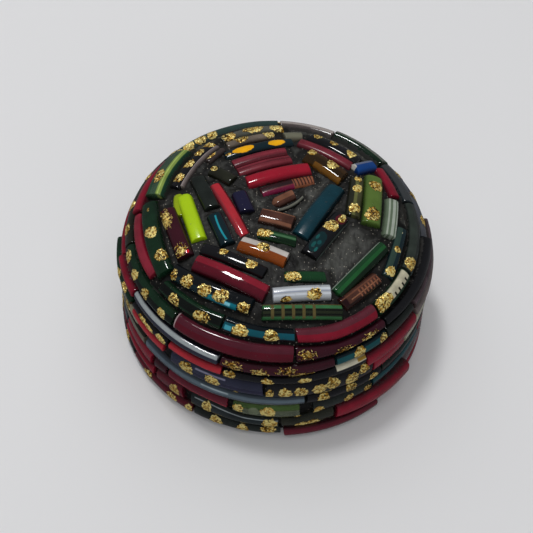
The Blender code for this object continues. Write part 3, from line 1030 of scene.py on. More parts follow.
G = Glass  # short for it in the lists of rods
FIELD = (
    FieldSpec("lime_rod", (-22.9, 3.3), (-17.7, -10.9), 4.0, G.LIME, round_start=True),
    FieldSpec("lime_curl", (-23.9, 3.7), (-22.8, -3.6), 2.6, G.DARK_LIME, bow=-0.3, round_start=True),
    FieldSpec("teal_line_rod", (-14.9, -3.4), (-10.9, -12.0), 3.9, G.TEAL_BLACK,
              paint=(Stripe("#1E8C9A", 0.1, 0.11, start=0.1, end=0.9, bow=-0.25),)),
    FieldSpec("red_slim_rod", (-15.5, 6.4), (-7.2, -9.0), 3.0, G.RED,
              paint=(Stripe("#5E1219", 0.85, 0.3), Stripe("#8E3038", -0.8, 0.2))),
    FieldSpec("navy_stub", (-9.5, 3.4), (-7.1, -2.4), 4.0, G.NAVY),
    FieldSpec("maroon_glitter_rod", (-26.1, -1.6), (-20.5, -15.2), 4.3, G.DARK_MAROON,
              gold=((-26.0, -4.6, 7.0, 3.6, 1), (-25.2, -6.2, 5.0, 2.2, 1), (-25.6, -4.4, 2.6, 1.6),
                    (-21.2, -13.9, 4.4, 3.6, 1), (-21.4, -14.0, 1.8, 1.8)),
              paint=(Spot("#C01828", 0.95, 0.45, 1.0, 0.9),)),
    FieldSpec("dark_green_left_rod", (-31.0, 1.6), (-24.9, -18.6), 4.7, G.DARK_GREEN, bow=-0.5,
              gold=((-27.8, -7.8, 3.4, 3.2), (-24.9, -14.2, 3.4, 3.2), (-29.8, -1.0, 1.2, 0.6))),
    FieldSpec("gold_dab_front_rod", (-23.0, -18.2), (-4.6, -27.2), 4.2, G.TEAL_BLACK, bow=-0.7,
              gold=((-22.4, -19.4, 2.0, 2.8), (-19.0, -20.9, 3.3, 3.5), (-14.8, -23.1, 3.3, 3.5),
                    (-11.0, -24.6, 3.5, 3.6), (-6.1, -27.7, 3.2, 3.0)),
              # painted light: the teal band is the rod's lit front side and the pale cyan dash on it a
              # painted highlight
              paint=(Stripe("#0E1114", 0.5, 0.8), Stripe("#0F6E7E", -0.74, 0.24, start=0.42, end=0.86),
                     Stripe("#7FC8DA", -0.72, 0.14, start=0.66, end=0.79))),
    FieldSpec("maroon_front_rod", (-18.2, -16.7), (-1.5, -24.4), 4.6, G.MAROON,
              # painted light: the brighter crimson band along the back half is painted where the lamp falls
              paint=(Stripe("#7E1A2A", 0.55, 0.5),)),
    FieldSpec("black_front_rod", (-17.0, -12.6), (-2.0, -19.0), 3.4, G.BLACK,
              gold=((-11.6, -14.2, 2.2, 2.2), (-5.2, -17.2, 3.0, 2.6))),
    FieldSpec("white_orange_rod", (-8.2, -11.4), (2.7, -15.4), 4.3, G.AMBER,
              gold=((-2.8, -12.9, 3.0, 3.0),),
              paint=(Stripe("#A5521C", -0.5, 0.8), Stripe("#F4ECE4", 0.42, 0.42),
                     Stripe("#8A4A22", 0.94, 0.1))),
    FieldSpec("green_gold_stub", (-4.4, -8.1), (4.6, -10.0), 3.2, G.GREEN,
              gold=((-2.9, -8.4, 3.8, 2.8),),
              # painted highlight: the pale green line along the crest
              paint=(Stripe("#4A7450", 0.1, 0.18, start=0.3), Stripe("#0C2412", -0.5, 0.3, start=0.4))),
    FieldSpec("copper_rod", (-4.2, -3.0), (3.9, -4.9), 4.4, G.COPPER,
              paint=(Stripe("#A87458", 0.62, 0.1), Stripe("#8E5E48", -0.7, 0.14))),
    FieldSpec("copper_chip", (-1.4, 0.6), (3.6, 4.2), 3.3, G.COPPER, round_start=True,
              paint=(Stripe("#8A5C46", 0.2, 0.5),)),
    FieldSpec("black_curl", (-0.4, -1.2), (5.6, 3.6), 1.3, G.BLACK, bow=-0.8,
              paint=(Stripe("#6A6A60", -0.4, 0.35),)),
    FieldSpec("crimson_ladder_rod", (-4.3, 4.3), (8.1, 9.4), 3.0, G.DULL_CRIMSON,
              paint=(Stripe("#2A1418", 0.3, 0.6), Stripe("#6A5A5A", 0.9, 0.12),
                     Stripe("#701238", -0.75, 0.25, end=0.6), Stripe("#8A5238", -0.1, 0.9, start=0.6),
                     Teeth("#3A201A", 0.0, 0.8, start=0.6, pitch=0.42 * MM, thick=0.42))),
    FieldSpec("bright_red_rod", (-8.0, 7.0), (7.1, 12.9), 4.1, G.BRIGHT_RED,
              paint=(Stripe("#8A1626", 0.7, 0.35),)),
    FieldSpec("ribbed_crimson_low", (-10.3, 10.2), (2.4, 15.8), 3.2, G.DULL_CRIMSON,
              paint=(Stripe("#742631", -0.5, 0.15), Stripe("#4C171F", 0.1, 0.08),
                     Stripe("#84303A", 0.6, 0.1))),
    FieldSpec("ribbed_crimson_high", (-11.6, 12.9), (1.2, 18.5), 3.2, G.DULL_CRIMSON,
              paint=(Stripe("#7C2834", 0.0, 0.2), Stripe("#561A24", -0.6, 0.1),
                     Stripe("#84303A", 0.65, 0.12))),
    FieldSpec("yellow_spot_rod", (-13.9, 16.0), (2.6, 22.4), 3.2, G.TEAL_BLACK,
              gold=((-12.9, 16.0, 1.6, 0.8),),
              paint=(Spot("#E8A80E", 0.27, -0.05, 5.6, 2.2), Spot("#E8A80E", 0.76, -0.1, 4.4, 2.0))),
    FieldSpec("olive_stub", (-16.6, 10.9), (-11.0, 7.3), 3.6, G.OLIVE_BLACK,
              gold=((-15.9, 10.6, 1.8, 2.0),)),
    FieldSpec("charcoal_rod", (-19.8, 8.0), (-15.4, -1.6), 4.1, G.CHARCOAL),
    FieldSpec("black_dab_rod", (-25.2, 5.6), (-17.5, 21.0), 3.3, G.BLACK,
              gold=((-24.2, 8.2, 3.0, 3.0), (-22.1, 12.7, 3.2, 3.1), (-20.1, 17.0, 3.0, 3.0),
                    (-17.8, 20.6, 3.4, 3.2))),
    FieldSpec("mauve_strip", (-23.4, 5.6), (-15.9, 20.0), 1.4, G.MAUVE, bow=0.6,
              paint=(Stripe("#8C8280", 0.2, 0.3),)),
    FieldSpec("brown_dab_rod", (-17.9, 13.8), (-14.3, 18.6), 1.8, G.BROWN,
              gold=((-17.0, 15.6, 3.2, 1.6),)),
    FieldSpec("emerald_rod", (-30.3, 3.9), (-25.0, 19.4), 6.3, G.EMERALD, bow=0.5,
              gold=((-28.2, 9.4, 4.8, 3.0),),
              paint=(Stripe("#3C5440", -0.15, 0.36), Stripe("#84994A", -0.62, 0.2),
                     Stripe("#AAC066", -0.6, 0.05))),
    FieldSpec("back_dark_dab_rod", (-15.2, 22.9), (-0.2, 28.2), 3.4, G.SMOKE, bow=0.4,
              gold=((-13.3, 23.2, 3.8, 3.8), (-7.3, 25.8, 5.2, 3.9), (-1.2, 27.4, 4.2, 3.5))),
    FieldSpec("back_brown_rod", (-13.8, 20.2), (-2.2, 24.9), 2.8, G.TAN,
              gold=((-10.2, 22.0, 3.6, 3.2), (-3.4, 24.7, 3.6, 3.3))),
    FieldSpec("grey_green_stub", (0.3, 24.4), (5.0, 25.2), 3.4, G.GREY_GREEN),
    FieldSpec("dull_crimson_rod", (4.2, 22.6), (17.4, 15.4), 3.3, G.DULL_CRIMSON),
    FieldSpec("amber_rod", (6.4, 17.4), (15.4, 10.4), 4.8, G.AMBER,
              gold=((7.4, 17.9, 3.0, 3.2), (12.6, 13.7, 3.3, 3.4)),
              # painted light: the orange band along the lower side is its painted lit side
              paint=(Stripe("#8F6020", -0.78, 0.22, start=0.3), Stripe("#4A3216", 0.4, 0.3))),
    FieldSpec("black_back_rod", (7.0, 24.9), (19.3, 17.3), 4.0, G.BLACK,
              gold=((9.0, 24.4, 2.6, 2.8), (12.9, 22.2, 2.4, 2.8), (17.3, 19.2, 3.0, 3.6))),
    FieldSpec("cobalt_stub", (18.0, 14.0), (23.0, 17.8), 3.8, G.COBALT,
              paint=(Stripe("#5C6680", 0.6, 0.35), Stripe("#A6A9AC", 0.85, 0.2),
                     Spot("#B9B7B0", 0.0, 0.4, 1.4, 1.8))),
    FieldSpec("crimson_rim_rod", (24.4, 17.0), (28.2, 7.8), 3.3, G.CRIMSON),
    FieldSpec("olive_dab_rod", (18.7, 10.8), (17.5, -1.6), 3.9, G.OLIVE_BLACK,
              gold=((18.8, 10.2, 2.0, 2.0), (18.5, 6.7, 2.8, 2.4), (17.8, 0.5, 3.0, 2.8)),
              paint=(Stripe("#5C5E36", 0.1, 0.3), Stripe("#3C3C26", 0.6, 0.4))),
    FieldSpec("leaf_green_rod", (22.9, 12.4), (22.0, -3.3), 4.9, G.LEAF,
              gold=((22.9, 8.3, 3.4, 3.6), (22.0, -0.9, 3.9, 4.1))),
    FieldSpec("sage_stripe_rod", (27.4, 6.2), (26.3, -5.6), 3.9, G.SAGE,
              paint=(Stripe("#C2CBBE", 0.62, 0.1), Stripe("#B4BEB0", 0.12, 0.2),
                     Stripe("#AEB8A8", -0.5, 0.1))),
    FieldSpec("petrol_rod", (13.7, 7.2), (5.4, -8.6), 4.9, G.PETROL,
              paint=(Stripe("#0A1C22", 0.9, 0.12), Stripe("#3C545A", -0.93, 0.08))),
    FieldSpec("black_speckle_rod", (15.0, -1.6), (7.5, -13.8), 4.6, G.BLACK,
              gold=((14.9, -3.3, 2.6, 1.8), (12.4, -5.8, 3.6, 3.4)),
              paint=(Spot("#4A0F1C", 0.12, 0.3, 3.4, 2.4), Spot("#B0182A", 0.38, 0.25, 1.3, 1.0),
                     Spot("#0E2A2D", 0.74, -0.05, 6.4, 2.9), Spot("#174F4E", 0.66, -0.35, 1.5, 0.7),
                     Spot("#15484A", 0.74, 0.15, 1.3, 0.9), Spot("#174F4E", 0.82, -0.2, 1.7, 0.8),
                     Spot("#1C5A58", 0.88, 0.3, 1.4, 0.6), Stripe("#4A5450", 0.97, 0.05))),
    FieldSpec("long_green_rod", (25.2, -8.2), (14.2, -22.6), 3.5, G.GREEN,
              paint=(Stripe("#8C988C", -0.9, 0.08), Stripe("#0E2213", 0.6, 0.4),
                     Stripe("#20582D", 0.0, 0.25))),
    FieldSpec("green_dab_stub", (2.2, -19.6), (11.6, -18.7), 2.9, G.GREEN,
              gold=((4.2, -19.6, 3.8, 2.6),)),
    FieldSpec("white_rod", (-0.2, -24.4), (12.9, -22.3), 3.8, G.WHITE,
              gold=((9.1, -23.6, 3.4, 3.2), (2.9, -25.4, 2.8, 1.6)),
              paint=(Stripe("#C8CDD4", 0.3, 0.16), Stripe("#C0C5CC", -0.3, 0.12),
                     Stripe("#8E94A4", 0.05, 0.08))),
    FieldSpec("ladder_green_rod", (-2.3, -28.3), (15.6, -26.2), 3.6, G.GREEN,
              paint=(Stripe("#3B7447", 0.6, 0.24), Stripe("#356A40", -0.75, 0.2),
                     Stripe("#262C1C", -0.1, 0.5), Stripe("#0A0F0B", 0.2, 0.1),
                     Stripe("#0A0F0B", -0.35, 0.1), Stripe("#8C7440", 0.95, 0.08),
                     Teeth("#5E5430", 0.0, 0.85, start=0.06, end=0.72, pitch=1.15 * MM, thick=0.3))),
    FieldSpec("copper_ladder_rod", (15.6, -24.8), (23.6, -16.8), 3.6, G.COPPER,
              paint=(Stripe("#2A1014", 0.0, 1.0, end=0.12), Stripe("#2A1A16", -0.75, 0.3),
                     Stripe("#7A4C38", 0.55, 0.08), Stripe("#B07858", -0.1, 0.06, start=0.2),
                     Teeth("#9A6248", -0.1, 0.5, start=0.42, pitch=0.5 * MM, thick=0.4))),
    FieldSpec("dark_teal_rod", (29.6, -1.6), (25.9, -15.8), 3.2, G.TEAL_BLACK,
              gold=((27.6, -8.4, 1.8, 1.8), (26.3, -14.4, 2.8, 2.6)),
              paint=(Spot("#D8CFA8", 0.12, -0.2, 0.7, 0.7), Stripe("#2C3F38", -0.45, 0.4))),
)


@dataclass
class LidField:
    """The short rods, stubs and chips on top of the lid.

    A rod rises by a share of its width, within a least and a most. It arches along its length with the
    camber as its radius, because it was cut from a ring, and its flat side clears the bed by the seat gap.
    """

    bed: Bed
    rise_share: float = 0.58
    least_rise: float = 1.75 * MM
    most_rise: float = 2.6 * MM
    seat_gap: float = 0.3 * MM
    seat_steps: int = 16
    camber: float = 42.0 * MM
    footprint_step: float = 0.4 * MM

    def place(self, spec: FieldSpec, rise: float) -> tuple[Matrix, float]:
        """Finds where a rod lies.

        Args:
            spec: the rod as it is listed.
            rise: height of its section.

        Returns:
            Its frame, with X along it from its start and Z off the bed, and its length.
        """
        start, end = Vector(spec.start) * self.bed.grid, Vector(spec.end) * self.bed.grid
        middle = (start + end) / 2.0
        up = self.bed.field_normal(middle.x, middle.y)
        feet = []
        for crest in (start, end):
            foot = crest - Vector((up.x, up.y)) * rise
            feet.append(Vector((foot.x, foot.y, self.bed.height_at(foot.length))))
        along = (feet[1] - feet[0]).normalized()
        across = up.cross(along).normalized()
        turn = Matrix((along, across, along.cross(across))).transposed().to_4x4()
        return Matrix.Translation(feet[0]) @ turn, (feet[1] - feet[0]).length

    def seat_lift(self, frame: Matrix, length: float, width: float, bow: float) -> float:
        """Finds how far a rod rises so that its flat side clears the bed by the seat gap.

        Args:
            frame: the rod's frame before it is lifted.
            length: its length.
            width: its width.
            bow: how far its middle bows sideways.

        Returns:
            The lift in metres.
        """
        up = frame.to_3x3().col[2]
        lifts = []
        for step in range(self.seat_steps + 1):
            share = 2.0 * step / self.seat_steps - 1.0
            for side in (-0.5, -0.25, 0.0, 0.25, 0.5):
                local = Vector(((share + 1.0) * length / 2.0, side * width + bow * (1.0 - share ** 2), 0.0))
                point = frame @ local
                normal = self.bed.field_normal(point.x, point.y)
                depth = (self.bed.height_at(math.hypot(point.x, point.y)) - point.z) * normal.z
                lifts.append(depth / up.dot(normal))
        return max(lifts) + self.seat_gap

    def rod(self, spec: FieldSpec) -> GlassRod:
        """Works out a rod from its listing.

        Args:
            spec: the rod as it is listed.

        Returns:
            The rod, ready to be modelled.
        """
        width, bow = spec.width * self.bed.grid, spec.bow * self.bed.grid
        rise = min(max(width * self.rise_share, self.least_rise), self.most_rise)
        frame, length = self.place(spec, rise)
        frame = frame @ Matrix.Translation((0.0, 0.0, self.seat_lift(frame, length, width, bow)))
        turn, origin = np.array(frame.to_3x3()), np.array(frame.translation)

        def lay(points: np.ndarray) -> np.ndarray:
            """Carries points from the rod's frame to the box's.

            Args:
                points: places in the rod's frame.

            Returns:
                Places in the box's.
            """
            bent = points.copy()
            bent[:, 1] += bow * (1.0 - (2.0 * points[:, 0] / length - 1.0) ** 2)
            bent[:, 2] += (length ** 2 / 12.0 - (points[:, 0] - length / 2.0) ** 2) / (2.0 * self.camber)
            return bent @ turn.T + origin

        return GlassRod(f"{spec.name}_glass", spec.glass, length, width, rise, lay, spec.paint,
                        plan_dabs(spec), spec.round_start)

    def footprints(self) -> np.ndarray:
        """Finds where the rods stand on the bed.

        Returns:
            For many places along each rod's middle line x, y and half the rod's width.
        """
        places = []
        for spec in FIELD:
            rod = self.rod(spec)
            along = np.arange(0.0, rod.length, self.footprint_step)
            middle = rod.lay(np.column_stack((along, along * 0.0, along * 0.0)))
            places.append(np.column_stack((middle[:, :2], np.full(len(along), rod.width / 2.0))))
        return np.concatenate(places)

    def build(self, gold: GoldLeaf) -> None:
        """Models, dresses and gilds every rod of the field.

        Args:
            gold: the gold leaf of the lid.
        """
        for spec in FIELD:
            self.rod(spec).build(gold, spec.name)


@dataclass(frozen=True)
class RowSpec:
    """A curved rod of a row, from one angle to another, in degrees from +X towards +Y.

    Each of its dabs of gold is (angle, across, length, width) in degrees, a share of the half width and
    millimetres, of which the last two may be left out. A fifth number says that it is glitter. The edges
    say how many millimetres the rod's lower and upper edges lie above the lines of its row.
    """

    start: float
    end: float
    glass: Glass
    gold: tuple[tuple[float, ...], ...] = ()
    lift: tuple[float, float] = (0.0, 0.0)
    paint: tuple[Paint, ...] = ()
    edges: tuple[float, float] = (0.0, 0.0)


LID_ANGLES = (-180.0, -155.0, -130.0, -110.0, -85.0, -65.0, -45.0, -20.0, 20.0, 90.0, 150.0)
LID_LINES = (
    (22.0, 22.0, 22.0, 22.0, 22.0, 22.0, 22.0, 22.0, 22.0, 22.0, 22.0),
    (24.8, 24.7, 24.7, 24.9, 24.3, 25.0, 25.2, 25.0, 25.0, 25.0, 25.0),
    (27.7, 27.6, 28.0, 27.9, 27.7, 28.0, 28.3, 28.0, 27.5, 27.5, 27.5),
    (31.4, 31.6, 32.2, 32.5, 32.3, 30.9, 30.9, 31.2, 31.2, 31.2, 31.3),
    (34.6, 35.0, 36.0, 36.3, 35.6, 34.8, 34.8, 35.2, 35.4, 35.4, 34.8),
)
LID_ROWS = (
    ("lid_lowest_row", (
        RowSpec(-180, -150, G.DARK_GREEN, ((-164, 0), (-157, 0.2)), lift=(0.9, 0.5)),
        RowSpec(-150, -128, G.BLACK, ((-142, 0, 3.4), (-138, -0.1, 3.0), (-131.5, 0, 3.0))),
        RowSpec(-128, -106, G.RED),
        RowSpec(-106, -54, G.BLACK, ((-103.5, 0.1, 3.0), (-90.3, 0, 2.8), (-77.5, 0, 2.8, 1.8)),
                paint=(Stripe("#C9C4AE", 0.7, 0.35, start=0.77), Stripe("#A07E2E", 0.7, 0.2, start=0.93))),
        RowSpec(-54, -27, G.CRIMSON, lift=(0.0, 0.3), edges=(-2.4, -0.9)),
        RowSpec(-27, 12, G.MAUVE, lift=(0.3, 0.9)),
        RowSpec(12, 55, G.DARK_GREEN, ((20, 0), (34, 0), (49, 0))),
        RowSpec(55, 98, G.CRIMSON),
        RowSpec(98, 140, G.BLACK, ((104, 0), (116, 0), (128, 0))),
        RowSpec(140, 180, G.TEAL_BLACK))),
    ("lid_lower_row", (
        RowSpec(-168, -150, G.CRIMSON, lift=(0.8, 0.4)),
        RowSpec(-150, -107.5, G.NAVY, lift=(0.0, 0.3),
                paint=(Stripe("#2A2C38", -0.4, 0.6), Stripe("#939A9C", 0.6, 0.27))),
        RowSpec(-107.5, -66.5, G.DARK_MAROON,
                ((-102, 0.1, 5.5, 2.4, 1), (-93, -0.1, 5.0, 2.4, 1), (-84, 0.1, 5.0, 2.6, 1),
                 (-79, -0.4, 6.0, 2.2, 1))),
        RowSpec(-66.5, -44.5, G.TEAL_BLACK, ((-57, 0.1, 3.2), (-46.5, 0, 2.4)),
                paint=(Stripe("#14474C", 0.0, 0.6),)),
        RowSpec(-44.5, -28, G.CHARCOAL),
        RowSpec(-28, 14, G.BROWN, lift=(0.3, 0.9), paint=(Stripe("#5A4A50", 0.5, 0.3),)),
        RowSpec(14, 60, G.DARK_MAROON, ((24, 0, 5, 2.4, 1), (46, 0, 5, 2.4, 1)),
                paint=(Stripe("#54464C", 0.0, 0.9),)),
        RowSpec(60, 104, G.SLATE),
        RowSpec(104, 148, G.DARK_GREEN, ((112, 0), (126, 0), (140, 0))),
        RowSpec(148, 192, G.CRIMSON))),
    ("lid_upper_row", (
        RowSpec(-168, -128, G.DARK_GREEN,
                ((-163, 0), (-154, 0, 2.6), (-144.5, -0.1, 2.8), (-134, -0.2, 2.6)),
                paint=(Stripe("#0C120E", -0.2, 0.4),)),
        RowSpec(-128, -81, G.MAROON,
                paint=(Stripe("#4E1C28", 0.62, 0.4), Stripe("#B09A9C", 0.0, 1.0, end=0.012))),
        RowSpec(-81, -44, G.DARK_MAROON,
                ((-76.5, 0, 4.6, 2.4, 1), (-63, -0.2, 5.4, 2.2, 1), (-52, 0, 4.6, 2.2, 1))),
        RowSpec(-44, 0, G.BLACK, lift=(0.0, 1.2)),
        RowSpec(0, 42, G.CHARCOAL, ((9, 0), (22, 0), (34, 0)), paint=(Stripe("#46484E", 0.0, 0.9),)),
        RowSpec(42, 84, G.MAROON),
        RowSpec(84, 128, G.BLACK, ((92, 0), (106, 0), (120, 0))),
        RowSpec(128, 192, G.OLIVE_BLACK, ((140, 0), (156, 0), (172, 0), (184, 0))))),
    ("lid_rim_row", (
        RowSpec(-180, -146.5, G.CRIMSON, paint=(Stripe("#7C2231", 0.2, 0.5),)),
        RowSpec(-141, -109.5, G.DARK_GREEN, ((-132, -0.25, 3.0, 3.4), (-118.5, -0.2, 4.2, 3.2)),
                paint=(Stripe("#0B100D", 0.0, 0.5),)),
        RowSpec(-109.5, -80.5, G.TEAL, ((-102, -0.12, 3.8, 3.0), (-89.8, -0.1, 3.6, 2.8)),
                paint=(Stripe("#0A1014", 0.72, 0.4), Stripe("#0A0E12", -0.8, 0.25),
                       # painted highlight: the short pale teal stretch near the start
                       Stripe("#3E93A3", -0.3, 0.3, start=0.03, end=0.13))),
        RowSpec(-80.5, -45.3, G.CRIMSON, paint=(Stripe("#5A2530", 0.62, 0.42),)),
        RowSpec(-45.3, -22.4, G.DARK_GREEN, ((-42, 0.15, 4.4, 4.0), (-38.5, 0.2, 3.0, 2.8)),
                paint=(Stripe("#CFC9AE", 0.28, 0.58, start=0.15, end=0.97),
                       Teeth("#17160F", -0.1, 0.25, start=0.35, end=0.92, pitch=0.75 * MM, thick=0.35))),
        RowSpec(-22.4, 14, G.CHARCOAL, ((-18.5, 0.1, 3.6, 3.2),),
                paint=(Stripe("#2A312C", 0.4, 0.5), Stripe("#5A686A", -0.7, 0.08))),
        RowSpec(14, 38, G.TEAL_BLACK, paint=(Stripe("#35383A", 0.4, 0.5),)),
        RowSpec(38, 66, G.DARK_GREEN, lift=(0.3, 0.4),
                paint=(Stripe("#6E7068", 0.25, 0.4), Stripe("#2A5238", -0.2, 0.3))),
        RowSpec(66, 92, G.MAUVE, paint=(Stripe("#9C9490", 0.3, 0.5), Stripe("#6E6664", -0.4, 0.3))),
        RowSpec(92, 148, G.TEAL_BLACK,
                ((124, 0.5, 3.0, 2.6), (130, 0.5, 3.2, 2.8), (136.5, 0.5, 3.4, 3.0), (143, 0.5, 3.2, 2.8)),
                paint=(Stripe("#24474A", 0.1, 0.3), Stripe("#2C3F3C", 0.7, 0.4))),
        RowSpec(148, 180, G.CRIMSON, lift=(0.0, 0.8)))),
)
BASE_ANGLES = (-180.0, -160.0, -139.0, -130.0, -110.0, -98.0, -80.0, -70.0, -45.0, 0.0, 90.0, 150.0)
BASE_LINES = (
    (0.5, 0.5, 0.5, 0.5, 0.5, 0.5, 0.5, 0.5, 0.5, 0.5, 0.5, 0.5),
    (3.9, 3.9, 3.9, 3.9, 3.9, 3.5, 3.3, 3.2, 3.2, 3.9, 3.9, 3.9),
    (9.4, 7.0, 7.0, 9.4, 9.4, 7.3, 6.9, 8.2, 8.5, 9.0, 9.4, 9.4),
    (13.2, 13.0, 12.8, 12.9, 12.8, 12.9, 13.0, 12.8, 12.8, 13.0, 13.0, 13.0),
    (17.2, 17.2, 17.2, 17.0, 16.9, 16.6, 16.3, 16.0, 16.0, 17.0, 17.0, 17.0),
    (22.0, 22.0, 22.0, 22.0, 22.0, 22.0, 22.0, 22.0, 22.0, 22.0, 22.0, 22.0),
)
BASE_ROWS = (
    ("base_foot_row", (
        RowSpec(-150, -117, G.MAROON, ((-139.5, 0), (-126.5, 0), (-118.8, 0, 2.2))),
        RowSpec(-117, -84, G.CHARCOAL, ((-107.8, 0.1), (-98, 0), (-89, 0.2, 3.4))),
        RowSpec(-84, -47, G.MAROON, lift=(0.8, 1.1), paint=(Stripe("#5A1826", 0.3, 0.5),)),
        RowSpec(-47, -10, G.CRIMSON),
        RowSpec(-10, 34, G.CHARCOAL, ((0, 0), (14, 0), (26, 0))),
        RowSpec(34, 78, G.DARK_GREEN),
        RowSpec(78, 122, G.MAROON),
        RowSpec(122, 166, G.SLATE),
        RowSpec(166, 210, G.BLACK, ((174, 0), (188, 0), (202, 0))))),
    ("base_lower_row", (
        RowSpec(-160, -136, G.CRIMSON),
        RowSpec(-135, -121, G.MAROON, ((-125.2, -0.15, 2.8, 4.8),)),
        RowSpec(-118.5, -85, G.CHARCOAL, ((-111.5, 0, 2.6, 4.0), (-88.5, 0, 3.6, 4.4)),
                # painted highlight: the thin pale grey line along the upper edge
                paint=(Stripe("#1A2224", 0.3, 0.5), Stripe("#8C9496", 0.62, 0.05, start=0.05))),
        RowSpec(-85, -65, G.OLIVE_BLACK, ((-77, -0.3, 3.6, 2.8), (-73, -0.3, 3.0, 3.0))),
        RowSpec(-65, -31.5, G.CRIMSON, lift=(0.5, 1.9)),
        RowSpec(-34, 10, G.CHARCOAL, paint=(Stripe("#54484A", 0.2, 0.9),)),
        RowSpec(10, 54, G.TEAL, ((20, 0), (38, 0))),
        RowSpec(54, 100, G.DARK_MAROON),
        RowSpec(100, 146, G.DARK_GREEN, ((110, 0), (124, 0), (138, 0))),
        RowSpec(146, 200, G.MAROON))),
    ("base_middle_row", (
        RowSpec(-157, -137, G.CRIMSON),
        RowSpec(-136, -129, G.DARK_MAROON),
        RowSpec(-128.5, -103.5, G.CRIMSON, paint=(Stripe("#5C1A28", 0.4, 0.5),)),
        RowSpec(-102.5, -77.5, G.OLIVE,
                ((-100, 0.1, 2.4, 3.4), (-89.5, 0.1, 3.4, 3.6), (-79, -0.5, 1.4, 1.6)),
                paint=(Stripe("#4A6432", 0.6, 0.25), Stripe("#626B56", -0.1, 0.4),
                       Spot("#7A8468", 0.32, 0.05, 2.4, 3.0))),
        RowSpec(-74, -50, G.CHARCOAL, ((-71.5, -0.2, 2.8, 2.6), (-60, 0, 2.4, 2.6), (-52, 0, 2.4, 2.4))),
        RowSpec(-50, -20, G.TEAL_BLACK, paint=(Stripe("#173E44", 0.4, 0.3),)),
        RowSpec(-20, 26, G.CRIMSON),
        RowSpec(26, 70, G.BLACK, ((36, 0), (50, 0), (62, 0))),
        RowSpec(70, 114, G.OLIVE),
        RowSpec(114, 158, G.MAROON),
        RowSpec(158, 203, G.TEAL_BLACK, ((166, 0), (180, 0), (194, 0))))),
    ("base_upper_row", (
        RowSpec(-141, -76.5, G.SLATE,
                # painted highlight: the lighter grey band and the short pale stripe in the middle of it
                paint=(Stripe("#56646E", 0.35, 0.3), Stripe("#93A0A6", 0.5, 0.1, start=0.42, end=0.58))),
        RowSpec(-76.5, -46, G.BLACK, ((-70, 0.1, 3.0), (-59.5, 0.1, 3.0), (-50, 0, 2.4))),
        RowSpec(-46, -12, G.CHARCOAL),
        RowSpec(-12, 34, G.SLATE),
        RowSpec(34, 80, G.DARK_MAROON, ((44, 0, 5, 2.4, 1), (66, 0, 5, 2.4, 1))),
        RowSpec(80, 126, G.CRIMSON),
        RowSpec(126, 172, G.BLACK, ((136, 0), (150, 0), (164, 0))),
        RowSpec(172, 219, G.OLIVE_BLACK, paint=(Stripe("#6C675A", 0.2, 0.4),)))),
    ("base_top_row", (
        RowSpec(-176, -146, G.CREAM, ((-168, 0), (-154, 0))),
        RowSpec(-150, -130, G.RED, edges=(1.6, 0.0)),
        RowSpec(-127, -91, G.NAVY, ((-119.5, 0.05, 3.8, 4.2), (-109.5, 0, 3.4, 3.8), (-101, -0.5, 1.2, 1.4)),
                # painted highlight: the lighter blue-grey upper band and the pale lavender line in it
                paint=(Stripe("#282A3C", 0.55, 0.45), Stripe("#7C7C92", 0.68, 0.08, start=0.3, end=0.62))),
        RowSpec(-91, -51, G.BLACK, ((-89.3, -0.1, 2.2, 3.6), (-84, 0, 3.0, 4.0), (-78.5, 0, 3.2, 3.8),
                                     (-72, 0.05, 3.4, 3.8), (-67, 0.2, 3.2, 4.0), (-60, 0, 3.6, 4.2),
                                     (-55, 0.35, 2.6, 3.2), (-69, -0.7, 3.2, 2.4), (-59, -0.7, 3.4, 2.4))),
        RowSpec(-51, -34, G.CRIMSON),
        RowSpec(-34, -2, G.CREAM, paint=(Stripe("#A9A694", 0.2, 0.4),)),
        RowSpec(-2, 44, G.NAVY),
        RowSpec(44, 92, G.CRIMSON),
        RowSpec(92, 138, G.BLACK, ((102, 0), (116, 0), (130, 0))),
        RowSpec(138, 184, G.DARK_GREEN))),
)


